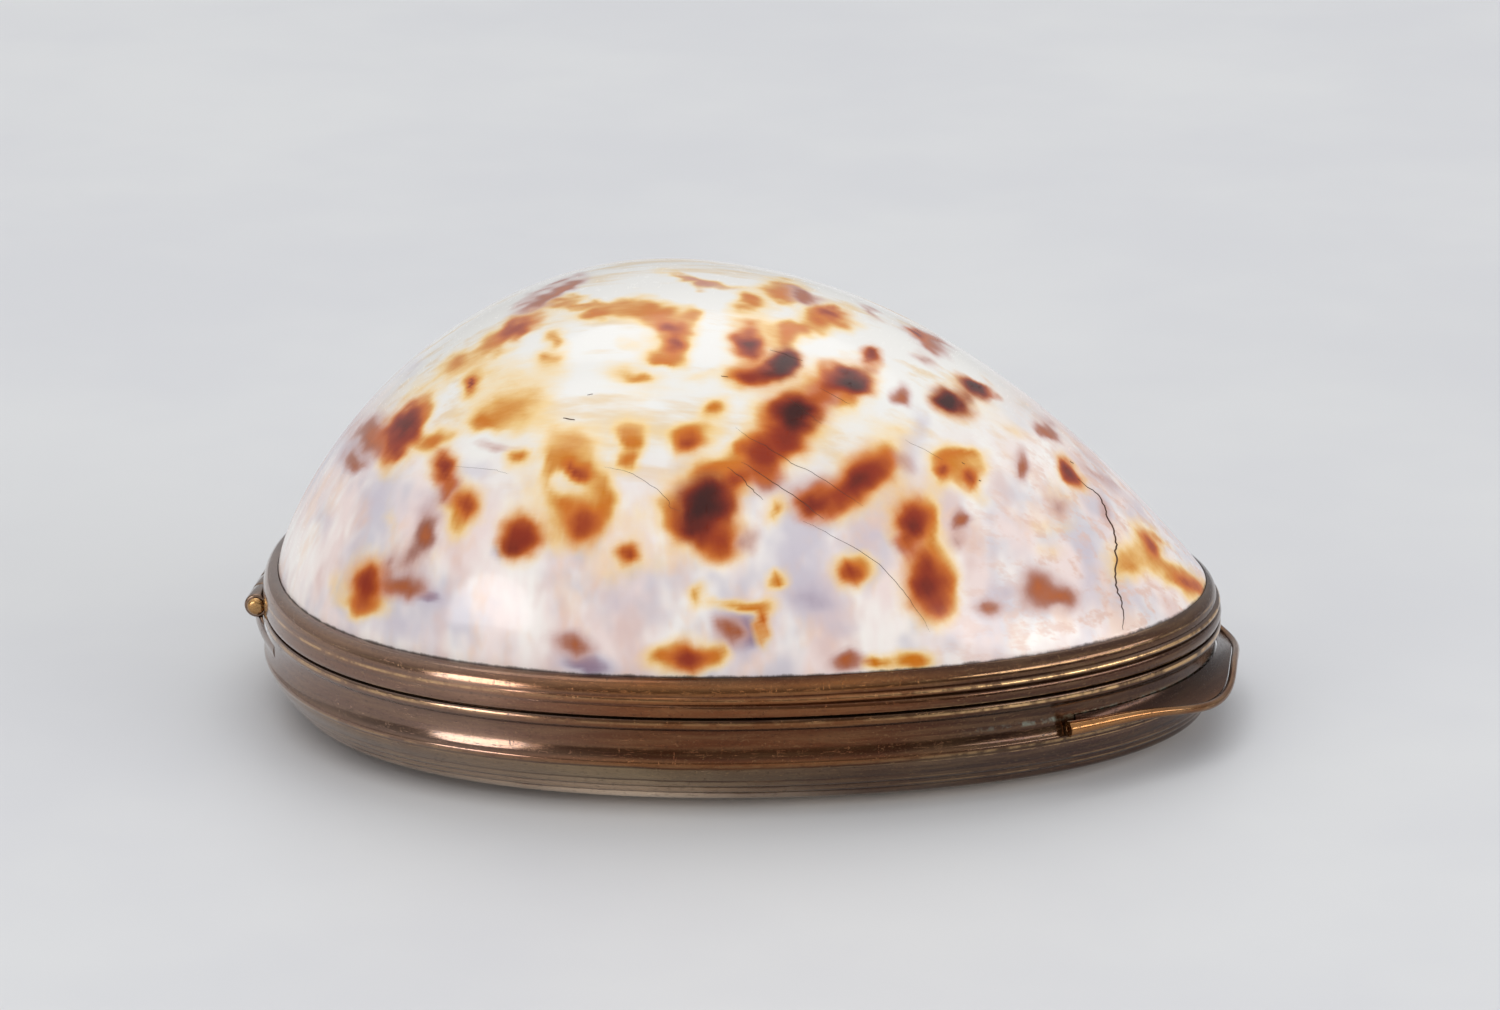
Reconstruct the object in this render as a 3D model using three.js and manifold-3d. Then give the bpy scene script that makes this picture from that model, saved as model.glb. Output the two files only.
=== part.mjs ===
// Shell snuff box: a polished cowrie shell set in a moulded metal collar and hinged, at its wide
// end, to a shallow moulded lid. It stands on the lid with the shell upwards.
// Millimetres, +Z up. The origin is the middle of the lid's flat resting face. +X points to the
// thumb lip, -X to the hinge. Sections are written as [inset, height]: inset is how far a point
// lies inside the rim's outline, height is its distance above the parting line.

import * as THREE from 'three';
import { mergeVertices } from 'three/addons/utils/BufferGeometryUtils.js';
import Module from 'manifold-3d';

const wasm = await Module();
wasm.setup();

// Outline of the rim at the parting line, an egg with its wide end at the hinge
const RIM_LENGTH = 78;
const RIM_WIDTH = 54.6;
const RIM_TAPER = 0.165;
const RIM_END_FULLNESS = 0.09;
const RIM_STATIONS = 64;

// Clearances
const SOLDER_GAP = 0.05;
const PARTING_GAP = 0.2;
const LIP_CLEARANCE = 0.2;
const HINGE_CLEARANCE = 0.25;
const KNUCKLE_GAP = 0.15;

// Points closer than this are one point
const WELD_DISTANCE = 0.0001;

// Steps along the shallow curves of a section
const FINE_STEPS = 4;
const STEPS = 3;

// Lid
const LID_HEIGHT = 8.2;
const LID_WALL = 1.1;
const LID_TOP_BEAD_HEIGHT = 0.75;
const LID_TOP_BEAD_BULGE = 0.1;
const LID_BAND_STEP = 0.3;
const LID_BAND_HEIGHT = 2.55;
const LID_BAND_HOLLOW = 0.2;
const LID_ARRIS_HEIGHT = 0.65;
const LID_ARRIS_BULGE = 0.14;
const LID_TURN_HEIGHT = 1.25;
const LID_TURN_INSET = 0.45;
const LID_TURN_BULGE = 0.1;
const REED_COUNT = 3;
const REED_HEIGHT = 0.64;
const REED_INSET = 0.44;
const REED_BULGE = 0.11;
const LID_FOOT_SHIFT = 0.6;
const LID_PLATE_THICKNESS = 0.75;
const LID_PLATE_EDGE_WIDTH = 3.6;
const LID_PLATE_EDGE_BULGE = 0.12;

// Collar that grips the shell
const COLLAR_HEIGHT = 3.06;
const COLLAR_LOWER_BAND = 0.95;
const COLLAR_LOWER_BULGE = 0.12;
const COLLAR_GROOVE = 0.12;
const COLLAR_GROOVE_DEPTH = 0.22;
const COLLAR_BEAD = 0.5;
const COLLAR_BEAD_INSET = 0.24;
const COLLAR_BEAD_BULGE = 0.14;
const COLLAR_UPPER_INSET = 0.42;
const COLLAR_UPPER_BULGE = 0.24;

// Bearing lip: the strip inside the collar that enters the lid, and the seat under the shell
const LIP_WALL = 0.5;
const LIP_REACH = 1.9;
const LIP_CHAMFER = 0.15;
const SEAT_HEIGHT = 0.25;
const SEAT_THICKNESS = 0.37;
const CEMENT_THICKNESS = 0.5;

// Shell
const SHELL_WALL = 2.6;
const DOME_RISE = 23.9;
const CREST_SHIFT = -3.3;
const HINGE_END_POWER = 1.3;
const HINGE_END_ROUNDNESS = 0.42;
const LIP_END_POWER = 1;
const LIP_END_ROUNDNESS = 0.5;
const SIDE_POWER = 2;
const SIDE_ROUNDNESS = 0.45;
const DOME_STEPS = 15;
const BOWL_STEPS = 10;

// Hinge, a barrel of five knuckles let into the rims at the parting line
const HINGE_SETBACK = 0.2;
const BARREL_RADIUS = 1;
const BORE_RADIUS = 0.6;
const PIN_RADIUS = 0.45;
const PIN_HEAD_RADIUS = 0.72;
const PIN_HEAD_THICKNESS = 0.35;
const PIN_HEAD_RIM = 0.12;
const PIN_HEAD_TOP_RADIUS = 0.36;
const KNUCKLE_LENGTH = 2.6;
const KNUCKLE_COUNT = 5;
const KNUCKLE_CHAMFER = 0.12;
const BARREL_FACETS = 20;
const BEARER_WIDTH = 27;
const BEARER_HEIGHT = 2.2;
const BEARER_TIP_HEIGHT = 1;
const BEARER_DROP = 0.4;
const BEARER_PROUD = 0.9;
const BEARER_TIP_PROUD = 0.12;
const BEARER_STATIONS = 18;

// Thumb lip: a scalloped ledge with a rolled edge, wrapped round the narrow end of the lid
const THUMB_WIDTH = 43.6;
const THUMB_LOBE_SPACING = 13.7;
const THUMB_LOBE_WIDTH = 5.8;
const THUMB_LOBE_PROUD = 1.33;
const THUMB_WING_PROUD = 0.52;
const THUMB_ROOT_DEPTH = 2.35;
const THUMB_EDGE_DEPTH = 2.87;
const THUMB_DIP = 0.88;
const THUMB_PLATE_THICKNESS = 0.4;
const THUMB_PLATE_HOLLOW_SHARE = 0.1;
const THUMB_STATIONS = 40;
const ROLL_TIP_RADIUS = 0.52;
const ROLL_MIDDLE_RADIUS = 0.3;
const ROLL_END_BORE = 0.26;
const ROLL_END_DEPTH = 0.9;
const ROLL_FACETS = 10;

// Places worked out from the sizes above
const HALF_GAP = PARTING_GAP / 2;
const ARRIS_FOOT = -HALF_GAP - LID_TOP_BEAD_HEIGHT - LID_BAND_HEIGHT - LID_ARRIS_HEIGHT;
const LIP_INSET = LID_WALL + LIP_CLEARANCE;
const SEAT_TOP = SEAT_HEIGHT + SEAT_THICKNESS;
const CEMENT_FOOT = SEAT_TOP + SOLDER_GAP;
const CEMENT_TOP = CEMENT_FOOT + CEMENT_THICKNESS;
const SHELL_FOOT = CEMENT_TOP + SOLDER_GAP;
const SHELL_INSET = LIP_INSET;
const BOWL_INSET = SHELL_INSET + SHELL_WALL;
const HINGE_X = -RIM_LENGTH / 2 + HINGE_SETBACK;
const KNUCKLE_PITCH = KNUCKLE_LENGTH + KNUCKLE_GAP;
const BARREL_LENGTH = KNUCKLE_COUNT * KNUCKLE_PITCH - KNUCKLE_GAP;

// Colours
const shellMaterial = finish(0xe8dcd2, 0.16, 0);
const cementMaterial = finish(0x4a3a2a, 0.9, 0);
const collarMaterial = finish(0x7a5a48, 0.34, 0.9);
const lidMaterial = finish(0x745644, 0.36, 0.9);
const goldenMaterial = finish(0xa9764a, 0.3, 0.95);

function finish(color, roughness, metalness) {
  return new THREE.MeshStandardMaterial({ color, roughness, metalness });
}

// Point of the rim's outline at an angle from +X, moved inwards by inset
function rimPoint(angle, inset) {
  const c = Math.cos(angle);
  const s = Math.sin(angle);
  const fullness = 1 - RIM_TAPER * c + RIM_END_FULLNESS * c * c;
  const slope = RIM_TAPER * s - 2 * RIM_END_FULLNESS * c * s;
  const along = new THREE.Vector2(
    -RIM_LENGTH / 2 * s,
    RIM_WIDTH / 2 * (c * fullness + s * slope),
  ).normalize();
  return new THREE.Vector2(
    RIM_LENGTH / 2 * c - inset * along.y,
    RIM_WIDTH / 2 * s * fullness + inset * along.x,
  );
}

// Angle reached by walking a distance along the outline, anticlockwise from a starting angle
function rimAngle(start, distance) {
  const steps = 200;
  const probe = 0.001;
  let angle = start;
  for (let i = 0; i < steps; i += 1) {
    const reach = rimPoint(angle, 0).distanceTo(rimPoint(angle + probe, 0)) / probe;
    angle += distance / steps / reach;
  }
  return angle;
}

function onRim(angle, [inset, height]) {
  const point = rimPoint(angle, inset);
  return new THREE.Vector3(point.x, point.y, LID_HEIGHT + height);
}

// Shallow curve between two section points. Its start is left out. A positive bulge swells
// outwards on a section that is drawn upwards, or inwards on one that is drawn downwards.
function curve(from, to, bulge, steps) {
  const rise = new THREE.Vector2(to[0] - from[0], to[1] - from[1]);
  const side = new THREE.Vector2(-rise.y, rise.x).normalize();
  const points = [];
  for (let i = 1; i <= steps; i += 1) {
    const share = i / steps;
    const swell = 4 * bulge * share * (1 - share);
    points.push([
      from[0] + rise.x * share + side.x * swell,
      from[1] + rise.y * share + side.y * swell,
    ]);
  }
  return points;
}

// Closed body through rings of equal point counts: a loop of rings, or a run with capped ends
function bodyThroughRings(rings, looped, capSection) {
  const size = rings[0].length;
  const points = rings.flat();
  const triangles = [];
  const spans = looped ? rings.length : rings.length - 1;
  for (let i = 0; i < spans; i += 1) {
    const here = i * size;
    const next = ((i + 1) % rings.length) * size;
    for (let j = 0; j < size; j += 1) {
      const k = (j + 1) % size;
      triangles.push([here + j, next + j, next + k], [here + j, next + k, here + k]);
    }
  }
  if (!looped) {
    const last = (rings.length - 1) * size;
    for (const [a, b, c] of capTriangles(capSection)) {
      triangles.push([a, b, c], [last + c, last + b, last + a]);
    }
  }
  return outwardBody(points, triangles);
}

// Triangles that fill a section, each running the same way round as the section does
function capTriangles(section) {
  const contour = section.map(([u, v]) => new THREE.Vector2(u, v));
  const sense = Math.sign(THREE.ShapeUtils.area(contour));
  return THREE.ShapeUtils.triangulateShape(contour, []).map(([a, b, c]) => {
    const agrees = THREE.ShapeUtils.area([contour[a], contour[b], contour[c]]) * sense > 0;
    return agrees ? [a, b, c] : [a, c, b];
  });
}

// Geometry of the triangles that have an area, turned so that the faces point out
function outwardBody(points, triangles) {
  const apart = (a, b) => points[a].distanceTo(points[b]) > WELD_DISTANCE;
  const real = triangles.filter(([a, b, c]) => apart(a, b) && apart(b, c) && apart(c, a));
  const cross = new THREE.Vector3();
  const volume = real.reduce((sum, [a, b, c]) => (
    sum + points[a].dot(cross.crossVectors(points[b], points[c]))
  ), 0);
  const turned = volume < 0 ? real.map(([a, b, c]) => [a, c, b]) : real;
  const geometry = new THREE.BufferGeometry().setFromPoints(points);
  geometry.setIndex(turned.flat());
  return geometry;
}

// Section carried once round the rim, each of its points set by place
function ringBody(section, place = onRim) {
  const rings = [];
  for (let i = 0; i < RIM_STATIONS; i += 1) {
    const angle = 2 * Math.PI * i / RIM_STATIONS;
    rings.push(section.map((point) => place(angle, point)));
  }
  return bodyThroughRings(rings, true);
}

function toSolid(geometry) {
  const bare = geometry.clone();
  bare.deleteAttribute('normal');
  bare.deleteAttribute('uv');
  const merged = mergeVertices(bare, WELD_DISTANCE);
  return new wasm.Manifold(new wasm.Mesh({
    numProp: 3,
    vertProperties: new Float32Array(merged.attributes.position.array),
    triVerts: new Uint32Array(merged.index.array),
  }));
}

function toGeometry(solid) {
  const mesh = solid.getMesh();
  const geometry = new THREE.BufferGeometry();
  geometry.setAttribute('position', new THREE.BufferAttribute(mesh.vertProperties, 3));
  geometry.setIndex(new THREE.BufferAttribute(mesh.triVerts, 1));
  return geometry;
}

function cutAway(geometry, cutters) {
  const left = cutters.reduce((solid, cutter) => solid.subtract(toSolid(cutter)), toSolid(geometry));
  return toGeometry(left);
}

const object = new THREE.Group();

function addPiece(name, geometry, material) {
  const mesh = new THREE.Mesh(geometry, material);
  mesh.name = name;
  object.add(mesh);
}

// Shell

// Point of a dome that stands on the outline moved in by inset, at a share of its rise
function domePoint(angle, inset, rise, share) {
  const foot = rimPoint(angle, inset);
  const half = RIM_LENGTH / 2 - inset;
  const hingeEnd = CREST_SHIFT - (half + CREST_SHIFT)
    * (1 - share ** HINGE_END_POWER) ** HINGE_END_ROUNDNESS;
  const lipEnd = CREST_SHIFT + (half - CREST_SHIFT)
    * (1 - share ** LIP_END_POWER) ** LIP_END_ROUNDNESS;
  const side = (1 - share ** SIDE_POWER) ** SIDE_ROUNDNESS;
  return new THREE.Vector3(
    (hingeEnd + lipEnd) / 2 + foot.x / half * (lipEnd - hingeEnd) / 2,
    foot.y * side,
    LID_HEIGHT + COLLAR_HEIGHT + rise * share,
  );
}

// Shares of the rise that crowd towards the crest, where the dome turns over
function crestShares(steps) {
  const shares = [];
  for (let i = 0; i <= steps; i += 1) {
    shares.push(Math.sin(Math.PI / 2 * i / steps));
  }
  return shares;
}

function cowrieShell() {
  const rings = [];
  for (let i = 0; i < RIM_STATIONS; i += 1) {
    const angle = 2 * Math.PI * i / RIM_STATIONS;
    const outside = crestShares(DOME_STEPS)
      .map((share) => domePoint(angle, SHELL_INSET, DOME_RISE, share));
    const inside = crestShares(BOWL_STEPS)
      .map((share) => domePoint(angle, BOWL_INSET, DOME_RISE - SHELL_WALL, share));
    rings.push([
      ...outside.reverse(),
      onRim(angle, [SHELL_INSET, SHELL_FOOT]),
      onRim(angle, [BOWL_INSET, SHELL_FOOT]),
      ...inside,
    ]);
  }
  return bodyThroughRings(rings, true);
}

function cementBed() {
  return ringBody([
    [SHELL_INSET, CEMENT_FOOT],
    [SHELL_INSET, CEMENT_TOP],
    [BOWL_INSET, CEMENT_TOP],
    [BOWL_INSET, CEMENT_FOOT],
  ]);
}

// Collar and bearing lip

function collarSection() {
  const inner = SHELL_INSET - SOLDER_GAP;
  const lowerTop = HALF_GAP + COLLAR_LOWER_BAND;
  const beadFoot = lowerTop + COLLAR_GROOVE;
  const beadTop = beadFoot + COLLAR_BEAD;
  const upperFoot = beadTop + COLLAR_GROOVE;
  const lowerGroove = [COLLAR_BEAD_INSET + COLLAR_GROOVE_DEPTH / 2, (lowerTop + beadFoot) / 2];
  const upperGroove = [COLLAR_BEAD_INSET + COLLAR_GROOVE_DEPTH, (beadTop + upperFoot) / 2];
  return [
    [inner, HALF_GAP],
    [COLLAR_LOWER_BULGE, HALF_GAP],
    ...curve([COLLAR_LOWER_BULGE, HALF_GAP], [COLLAR_LOWER_BULGE, lowerTop], COLLAR_LOWER_BULGE, FINE_STEPS),
    lowerGroove,
    [COLLAR_BEAD_INSET, beadFoot],
    ...curve([COLLAR_BEAD_INSET, beadFoot], [COLLAR_BEAD_INSET, beadTop], COLLAR_BEAD_BULGE, STEPS),
    upperGroove,
    [COLLAR_UPPER_INSET, upperFoot],
    ...curve([COLLAR_UPPER_INSET, upperFoot], [inner, COLLAR_HEIGHT], COLLAR_UPPER_BULGE, FINE_STEPS),
  ];
}

function bearingLipSection() {
  const inner = LIP_INSET + LIP_WALL;
  return [
    [LIP_INSET, SEAT_TOP],
    [LIP_INSET, LIP_CHAMFER - LIP_REACH],
    [LIP_INSET + LIP_CHAMFER, -LIP_REACH],
    [inner, -LIP_REACH],
    [inner, SEAT_HEIGHT],
    [BOWL_INSET, SEAT_HEIGHT],
    [BOWL_INSET, SEAT_TOP],
  ];
}

// Lid

// Outer corner of the lid's moulded side, where the plate is let in
function lidFoot() {
  return [
    LID_TOP_BEAD_BULGE + LID_TURN_INSET + REED_COUNT * REED_INSET,
    ARRIS_FOOT - LID_TURN_HEIGHT - REED_COUNT * REED_HEIGHT,
  ];
}

// Point of the lid: below the arris the side leans, and its foot stands nearer the thumb lip
function onLid(angle, [inset, height]) {
  const [, footHeight] = lidFoot();
  const lean = Math.min(1, Math.max(0, (ARRIS_FOOT - height) / (ARRIS_FOOT - footHeight)));
  return onRim(angle, [inset - LID_FOOT_SHIFT * lean * Math.cos(angle), height]);
}

function lidRimSection() {
  const face = LID_TOP_BEAD_BULGE;
  const bandFoot = ARRIS_FOOT + LID_ARRIS_HEIGHT;
  const beadFoot = bandFoot + LID_BAND_HEIGHT;
  const turnFoot = [face + LID_TURN_INSET, ARRIS_FOOT - LID_TURN_HEIGHT];
  const outside = [
    [face, -HALF_GAP],
    ...curve([face, -HALF_GAP], [face, beadFoot], -LID_TOP_BEAD_BULGE, STEPS),
    ...curve([LID_BAND_STEP, beadFoot], [face, bandFoot], LID_BAND_HOLLOW, FINE_STEPS),
    ...curve([face, bandFoot], [face, ARRIS_FOOT], -LID_ARRIS_BULGE, STEPS),
    ...curve([face, ARRIS_FOOT], turnFoot, -LID_TURN_BULGE, STEPS),
  ];
  let reedTop = turnFoot;
  for (let i = 0; i < REED_COUNT; i += 1) {
    const reedFoot = [reedTop[0] + REED_INSET, reedTop[1] - REED_HEIGHT];
    outside.push(...curve(reedTop, reedFoot, -REED_BULGE, STEPS));
    reedTop = reedFoot;
  }
  const [footInset, footHeight] = lidFoot();
  const plateEdge = plateEdgeStep();
  return [
    ...outside,
    [footInset + plateEdge.x, footHeight + plateEdge.y],
    [LID_WALL, ARRIS_FOOT],
    [LID_WALL, -HALF_GAP],
  ];
}

// Slope of the plate's turned-up edge: from the flat up to the moulded side
function plateEdgeSlope() {
  const [, footHeight] = lidFoot();
  return new THREE.Vector2(LID_PLATE_EDGE_WIDTH, -LID_HEIGHT - footHeight).normalize();
}

// Step through the plate's thickness, square to its edge
function plateEdgeStep() {
  const slope = plateEdgeSlope();
  return new THREE.Vector2(-slope.y, slope.x).multiplyScalar(LID_PLATE_THICKNESS);
}

function lidPlate() {
  const [footInset, footHeight] = lidFoot();
  const step = plateEdgeStep();
  const edge = [footInset + SOLDER_GAP, footHeight];
  const flat = [footInset + LID_PLATE_EDGE_WIDTH, -LID_HEIGHT];
  const inner = [edge[0] + step.x, edge[1] + step.y];
  const innerFlat = [flat[0], flat[1] + LID_PLATE_THICKNESS];
  const section = [
    ...curve(flat, edge, LID_PLATE_EDGE_BULGE, STEPS).reverse(),
    flat,
  ];
  const rings = [];
  for (let i = 0; i < RIM_STATIONS; i += 1) {
    const angle = 2 * Math.PI * i / RIM_STATIONS;
    rings.push([
      new THREE.Vector3(0, 0, LID_PLATE_THICKNESS),
      onLid(angle, innerFlat),
      onLid(angle, inner),
      ...section.map((point) => onLid(angle, point)),
      new THREE.Vector3(0, 0, 0),
    ]);
  }
  return bodyThroughRings(rings, true);
}

// Hinge

// Turned piece on the hinge axis, from a profile of [radius, distance along the axis]
function turnedOnHinge(profile, middle) {
  const geometry = new THREE.LatheGeometry(
    profile.map(([radius, along]) => new THREE.Vector2(radius, along)),
    BARREL_FACETS,
  );
  return geometry.translate(HINGE_X, middle, LID_HEIGHT);
}

function knuckleMiddle(index) {
  return (index - (KNUCKLE_COUNT - 1) / 2) * KNUCKLE_PITCH;
}

function knuckle(index) {
  const half = KNUCKLE_LENGTH / 2;
  return turnedOnHinge([
    [BORE_RADIUS, -half],
    [BARREL_RADIUS - KNUCKLE_CHAMFER, -half],
    [BARREL_RADIUS, KNUCKLE_CHAMFER - half],
    [BARREL_RADIUS, half - KNUCKLE_CHAMFER],
    [BARREL_RADIUS - KNUCKLE_CHAMFER, half],
    [BORE_RADIUS, half],
    [BORE_RADIUS, -half],
  ], knuckleMiddle(index));
}

function hingePin() {
  const seat = BARREL_LENGTH / 2 + SOLDER_GAP;
  const end = seat + PIN_HEAD_THICKNESS;
  const half = [
    [PIN_RADIUS, seat],
    [PIN_HEAD_RADIUS, seat],
    [PIN_HEAD_RADIUS, seat + PIN_HEAD_RIM],
    [PIN_HEAD_TOP_RADIUS, end],
    [0, end],
  ];
  const mirrored = half.map(([radius, along]) => [radius, -along]).reverse();
  return turnedOnHinge([...mirrored, ...half], 0);
}

// Room for one knuckle of the barrel, a little into the next so that no film stays between them
function knuckleRoom(index, clearance) {
  const half = KNUCKLE_PITCH / 2 + WELD_DISTANCE;
  const radius = BARREL_RADIUS + clearance;
  return turnedOnHinge([[0, -half], [radius, -half], [radius, half], [0, half]], knuckleMiddle(index));
}

// Room for the pin's heads beyond the barrel
function pinRoom() {
  const half = BARREL_LENGTH / 2 + PIN_HEAD_THICKNESS + HINGE_CLEARANCE;
  const radius = PIN_HEAD_RADIUS + HINGE_CLEARANCE;
  return turnedOnHinge([[0, -half], [radius, -half], [radius, half], [0, half]], 0);
}

function belongsToLid(index) {
  return index % 2 === 0;
}

// The knuckles' bed in a rim: close under its own knuckles, free round the others
function barrelRoom(ofLid) {
  const rooms = [pinRoom()];
  for (let i = 0; i < KNUCKLE_COUNT; i += 1) {
    const own = belongsToLid(i) === ofLid;
    rooms.push(knuckleRoom(i, own ? SOLDER_GAP : HINGE_CLEARANCE));
  }
  return rooms;
}

// Strip on the outside of the lid's rim that carries the lid's knuckles and fades out each side
function hingeBearer() {
  const rings = [];
  for (let i = 0; i <= BEARER_STATIONS; i += 1) {
    const share = i / BEARER_STATIONS * 2 - 1;
    const angle = rimAngle(Math.PI, BEARER_WIDTH / 2 * share);
    const fade = Math.cos(Math.PI / 2 * share) ** 2;
    rings.push(bearerSection(fade).map((point) => onRim(angle, point)));
  }
  return bodyThroughRings(rings, false, bearerSection(1));
}

function bearerSection(fade) {
  const proud = BEARER_TIP_PROUD + (BEARER_PROUD - BEARER_TIP_PROUD) * fade;
  const middle = -BEARER_DROP - BEARER_HEIGHT / 2;
  const half = (BEARER_TIP_HEIGHT + (BEARER_HEIGHT - BEARER_TIP_HEIGHT) * fade) / 2;
  return [
    [-SOLDER_GAP, middle + half],
    ...curve([-SOLDER_GAP, middle + half], [-SOLDER_GAP, middle - half], -proud, FINE_STEPS),
  ];
}

// Thumb lip

// Share of the way from the lip's middle to its tip, and the rim angle there
function thumbStation(index) {
  const share = index / THUMB_STATIONS * 2 - 1;
  const along = THUMB_WIDTH / 2 * share;
  return { share, along, angle: rimAngle(0, along) };
}

// How far the rolled edge's centre stands out from the rim: two lobes and two low wings
function thumbProud(along) {
  const lobe = (side) => {
    const off = (along - side * THUMB_LOBE_SPACING / 2) / THUMB_LOBE_WIDTH;
    return Math.exp(-off * off);
  };
  return THUMB_WING_PROUD + THUMB_LOBE_PROUD * (lobe(-1) + lobe(1));
}

function rollRadius(share) {
  return ROLL_MIDDLE_RADIUS + (ROLL_TIP_RADIUS - ROLL_MIDDLE_RADIUS) * share * share;
}

function rollCentre({ along }) {
  const proud = thumbProud(along);
  return [-proud, -THUMB_EDGE_DEPTH - THUMB_DIP * (proud - THUMB_WING_PROUD)];
}

function thumbPlateSection(station) {
  const [rollInset, edgeHeight] = rollCentre(station);
  const edge = rollInset + rollRadius(station.share) + SOLDER_GAP;
  const half = THUMB_PLATE_THICKNESS / 2;
  const root = LID_TOP_BEAD_BULGE + LID_BAND_HOLLOW / 2 + SOLDER_GAP;
  const hollow = THUMB_PLATE_HOLLOW_SHARE * (root - edge);
  return [
    [root, half - THUMB_ROOT_DEPTH],
    [root, -half - THUMB_ROOT_DEPTH],
    ...curve([root, -half - THUMB_ROOT_DEPTH], [edge, edgeHeight - half], hollow, STEPS),
    [edge, edgeHeight + half],
    ...curve([edge, edgeHeight + half], [root, half - THUMB_ROOT_DEPTH], -hollow, STEPS)
      .slice(0, -1),
  ];
}

function thumbPlate() {
  const rings = [];
  for (let i = 0; i <= THUMB_STATIONS; i += 1) {
    const station = thumbStation(i);
    rings.push(thumbPlateSection(station).map((point) => onRim(station.angle, point)));
  }
  return bodyThroughRings(rings, false, thumbPlateSection(thumbStation(0)));
}

// Circle square to the rolled edge, moved along it by a distance
function rollRing(station, radius, shift) {
  const [inset, height] = rollCentre(station);
  const angle = rimAngle(station.angle, shift);
  const ring = [];
  for (let j = 0; j < ROLL_FACETS; j += 1) {
    const turn = 2 * Math.PI * j / ROLL_FACETS;
    ring.push(onRim(angle, [inset + radius * Math.cos(turn), height + radius * Math.sin(turn)]));
  }
  return ring;
}

function thumbRoll() {
  const first = thumbStation(0);
  const last = thumbStation(THUMB_STATIONS);
  const rings = [rollRing(first, ROLL_END_BORE, ROLL_END_DEPTH), rollRing(first, ROLL_END_BORE, 0)];
  for (let i = 0; i <= THUMB_STATIONS; i += 1) {
    const station = thumbStation(i);
    rings.push(rollRing(station, rollRadius(station.share), 0));
  }
  rings.push(rollRing(last, ROLL_END_BORE, 0), rollRing(last, ROLL_END_BORE, -ROLL_END_DEPTH));
  const circle = rings[0].map((point, j) => {
    const turn = 2 * Math.PI * j / ROLL_FACETS;
    return [Math.cos(turn), Math.sin(turn)];
  });
  return bodyThroughRings(rings, false, circle);
}

addPiece('cowrie_shell', cowrieShell(), shellMaterial);
addPiece('cement_bed', cementBed(), cementMaterial);
addPiece('collar', cutAway(ringBody(collarSection()), barrelRoom(false)), collarMaterial);
addPiece('bearing_lip', cutAway(ringBody(bearingLipSection()), barrelRoom(false)), collarMaterial);
addPiece('lid_rim', cutAway(ringBody(lidRimSection(), onLid), barrelRoom(true)), lidMaterial);
addPiece('lid_plate', lidPlate(), lidMaterial);
addPiece('lid_hinge_bearer', cutAway(hingeBearer(), barrelRoom(true)), lidMaterial);
for (let i = 0; i < KNUCKLE_COUNT; i += 1) {
  const owner = belongsToLid(i) ? 'lid' : 'box';
  addPiece(`${owner}_knuckle_${i + 1}`, knuckle(i), belongsToLid(i) ? lidMaterial : goldenMaterial);
}
addPiece('hinge_pin', hingePin(), goldenMaterial);
addPiece('thumb_plate', thumbPlate(), goldenMaterial);
addPiece('thumb_roll', thumbRoll(), goldenMaterial);

export default object;
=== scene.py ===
"""Looks of the shell snuff box: fine meshes, finishes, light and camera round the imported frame.

Sizes inside the classes are millimetres, as on the part's drawing. A finished piece is in metres.
"""

import logging
import math
import random
from dataclasses import dataclass, field
from enum import Enum
from functools import lru_cache
from typing import Callable, Sequence

import bmesh
import bpy
from mathutils import Matrix, Vector, noise
from mathutils.bvhtree import BVHTree
from mathutils.kdtree import KDTree


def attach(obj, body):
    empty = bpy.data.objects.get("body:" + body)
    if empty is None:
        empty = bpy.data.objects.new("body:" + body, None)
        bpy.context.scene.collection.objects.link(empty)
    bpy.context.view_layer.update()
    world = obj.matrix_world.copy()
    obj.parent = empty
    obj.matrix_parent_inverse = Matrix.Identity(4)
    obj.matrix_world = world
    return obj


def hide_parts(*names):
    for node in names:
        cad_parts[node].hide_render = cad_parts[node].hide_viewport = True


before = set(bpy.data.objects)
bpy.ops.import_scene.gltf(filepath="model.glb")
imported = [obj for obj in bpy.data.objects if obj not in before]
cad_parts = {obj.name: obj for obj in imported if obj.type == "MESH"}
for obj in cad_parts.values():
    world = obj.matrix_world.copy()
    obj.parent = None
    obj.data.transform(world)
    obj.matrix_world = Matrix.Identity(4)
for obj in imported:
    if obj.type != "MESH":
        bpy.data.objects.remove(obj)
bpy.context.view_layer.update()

log = logging.getLogger("snuff_box")
logging.basicConfig(level=logging.INFO, format="%(name)s: %(message)s")

MM = 0.001
FULL_TURN = 2 * math.pi
SHARP_ANGLE = math.radians(38)

# A spin only lays out faces, so its radius and its open angle are free. WELD is in millimetres.
SPIN_RADIUS = 2.0
OPEN_SPIN = 3.0
WELD = 1e-4

Colour = tuple[float, float, float, float]
Range = tuple[float, float]
Stretch = tuple[float, float, float]
SectionPoint = tuple[float, float]
Place = Callable[[float, int], Vector]
Socket = bpy.types.NodeSocket
Source = Socket | float | Colour


class Body(Enum):
    """Moving bodies of the box."""

    LID = "lid"
    BOX = "box"


class Slot(Enum):
    """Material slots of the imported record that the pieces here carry."""

    SHELL = "shell"
    COLLAR = "collar_metal"
    INNER = "inner_metal"
    LID = "lid_metal"
    PLATE = "plate_metal"
    WORN = "worn_metal"


class Ink(Enum):
    """Colours that lie in the shell under its glaze."""

    CORE = "core"
    RUST = "rust"
    GOLD = "gold"
    MAUVE = "mauve"
    VIOLET = "violet"


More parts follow.
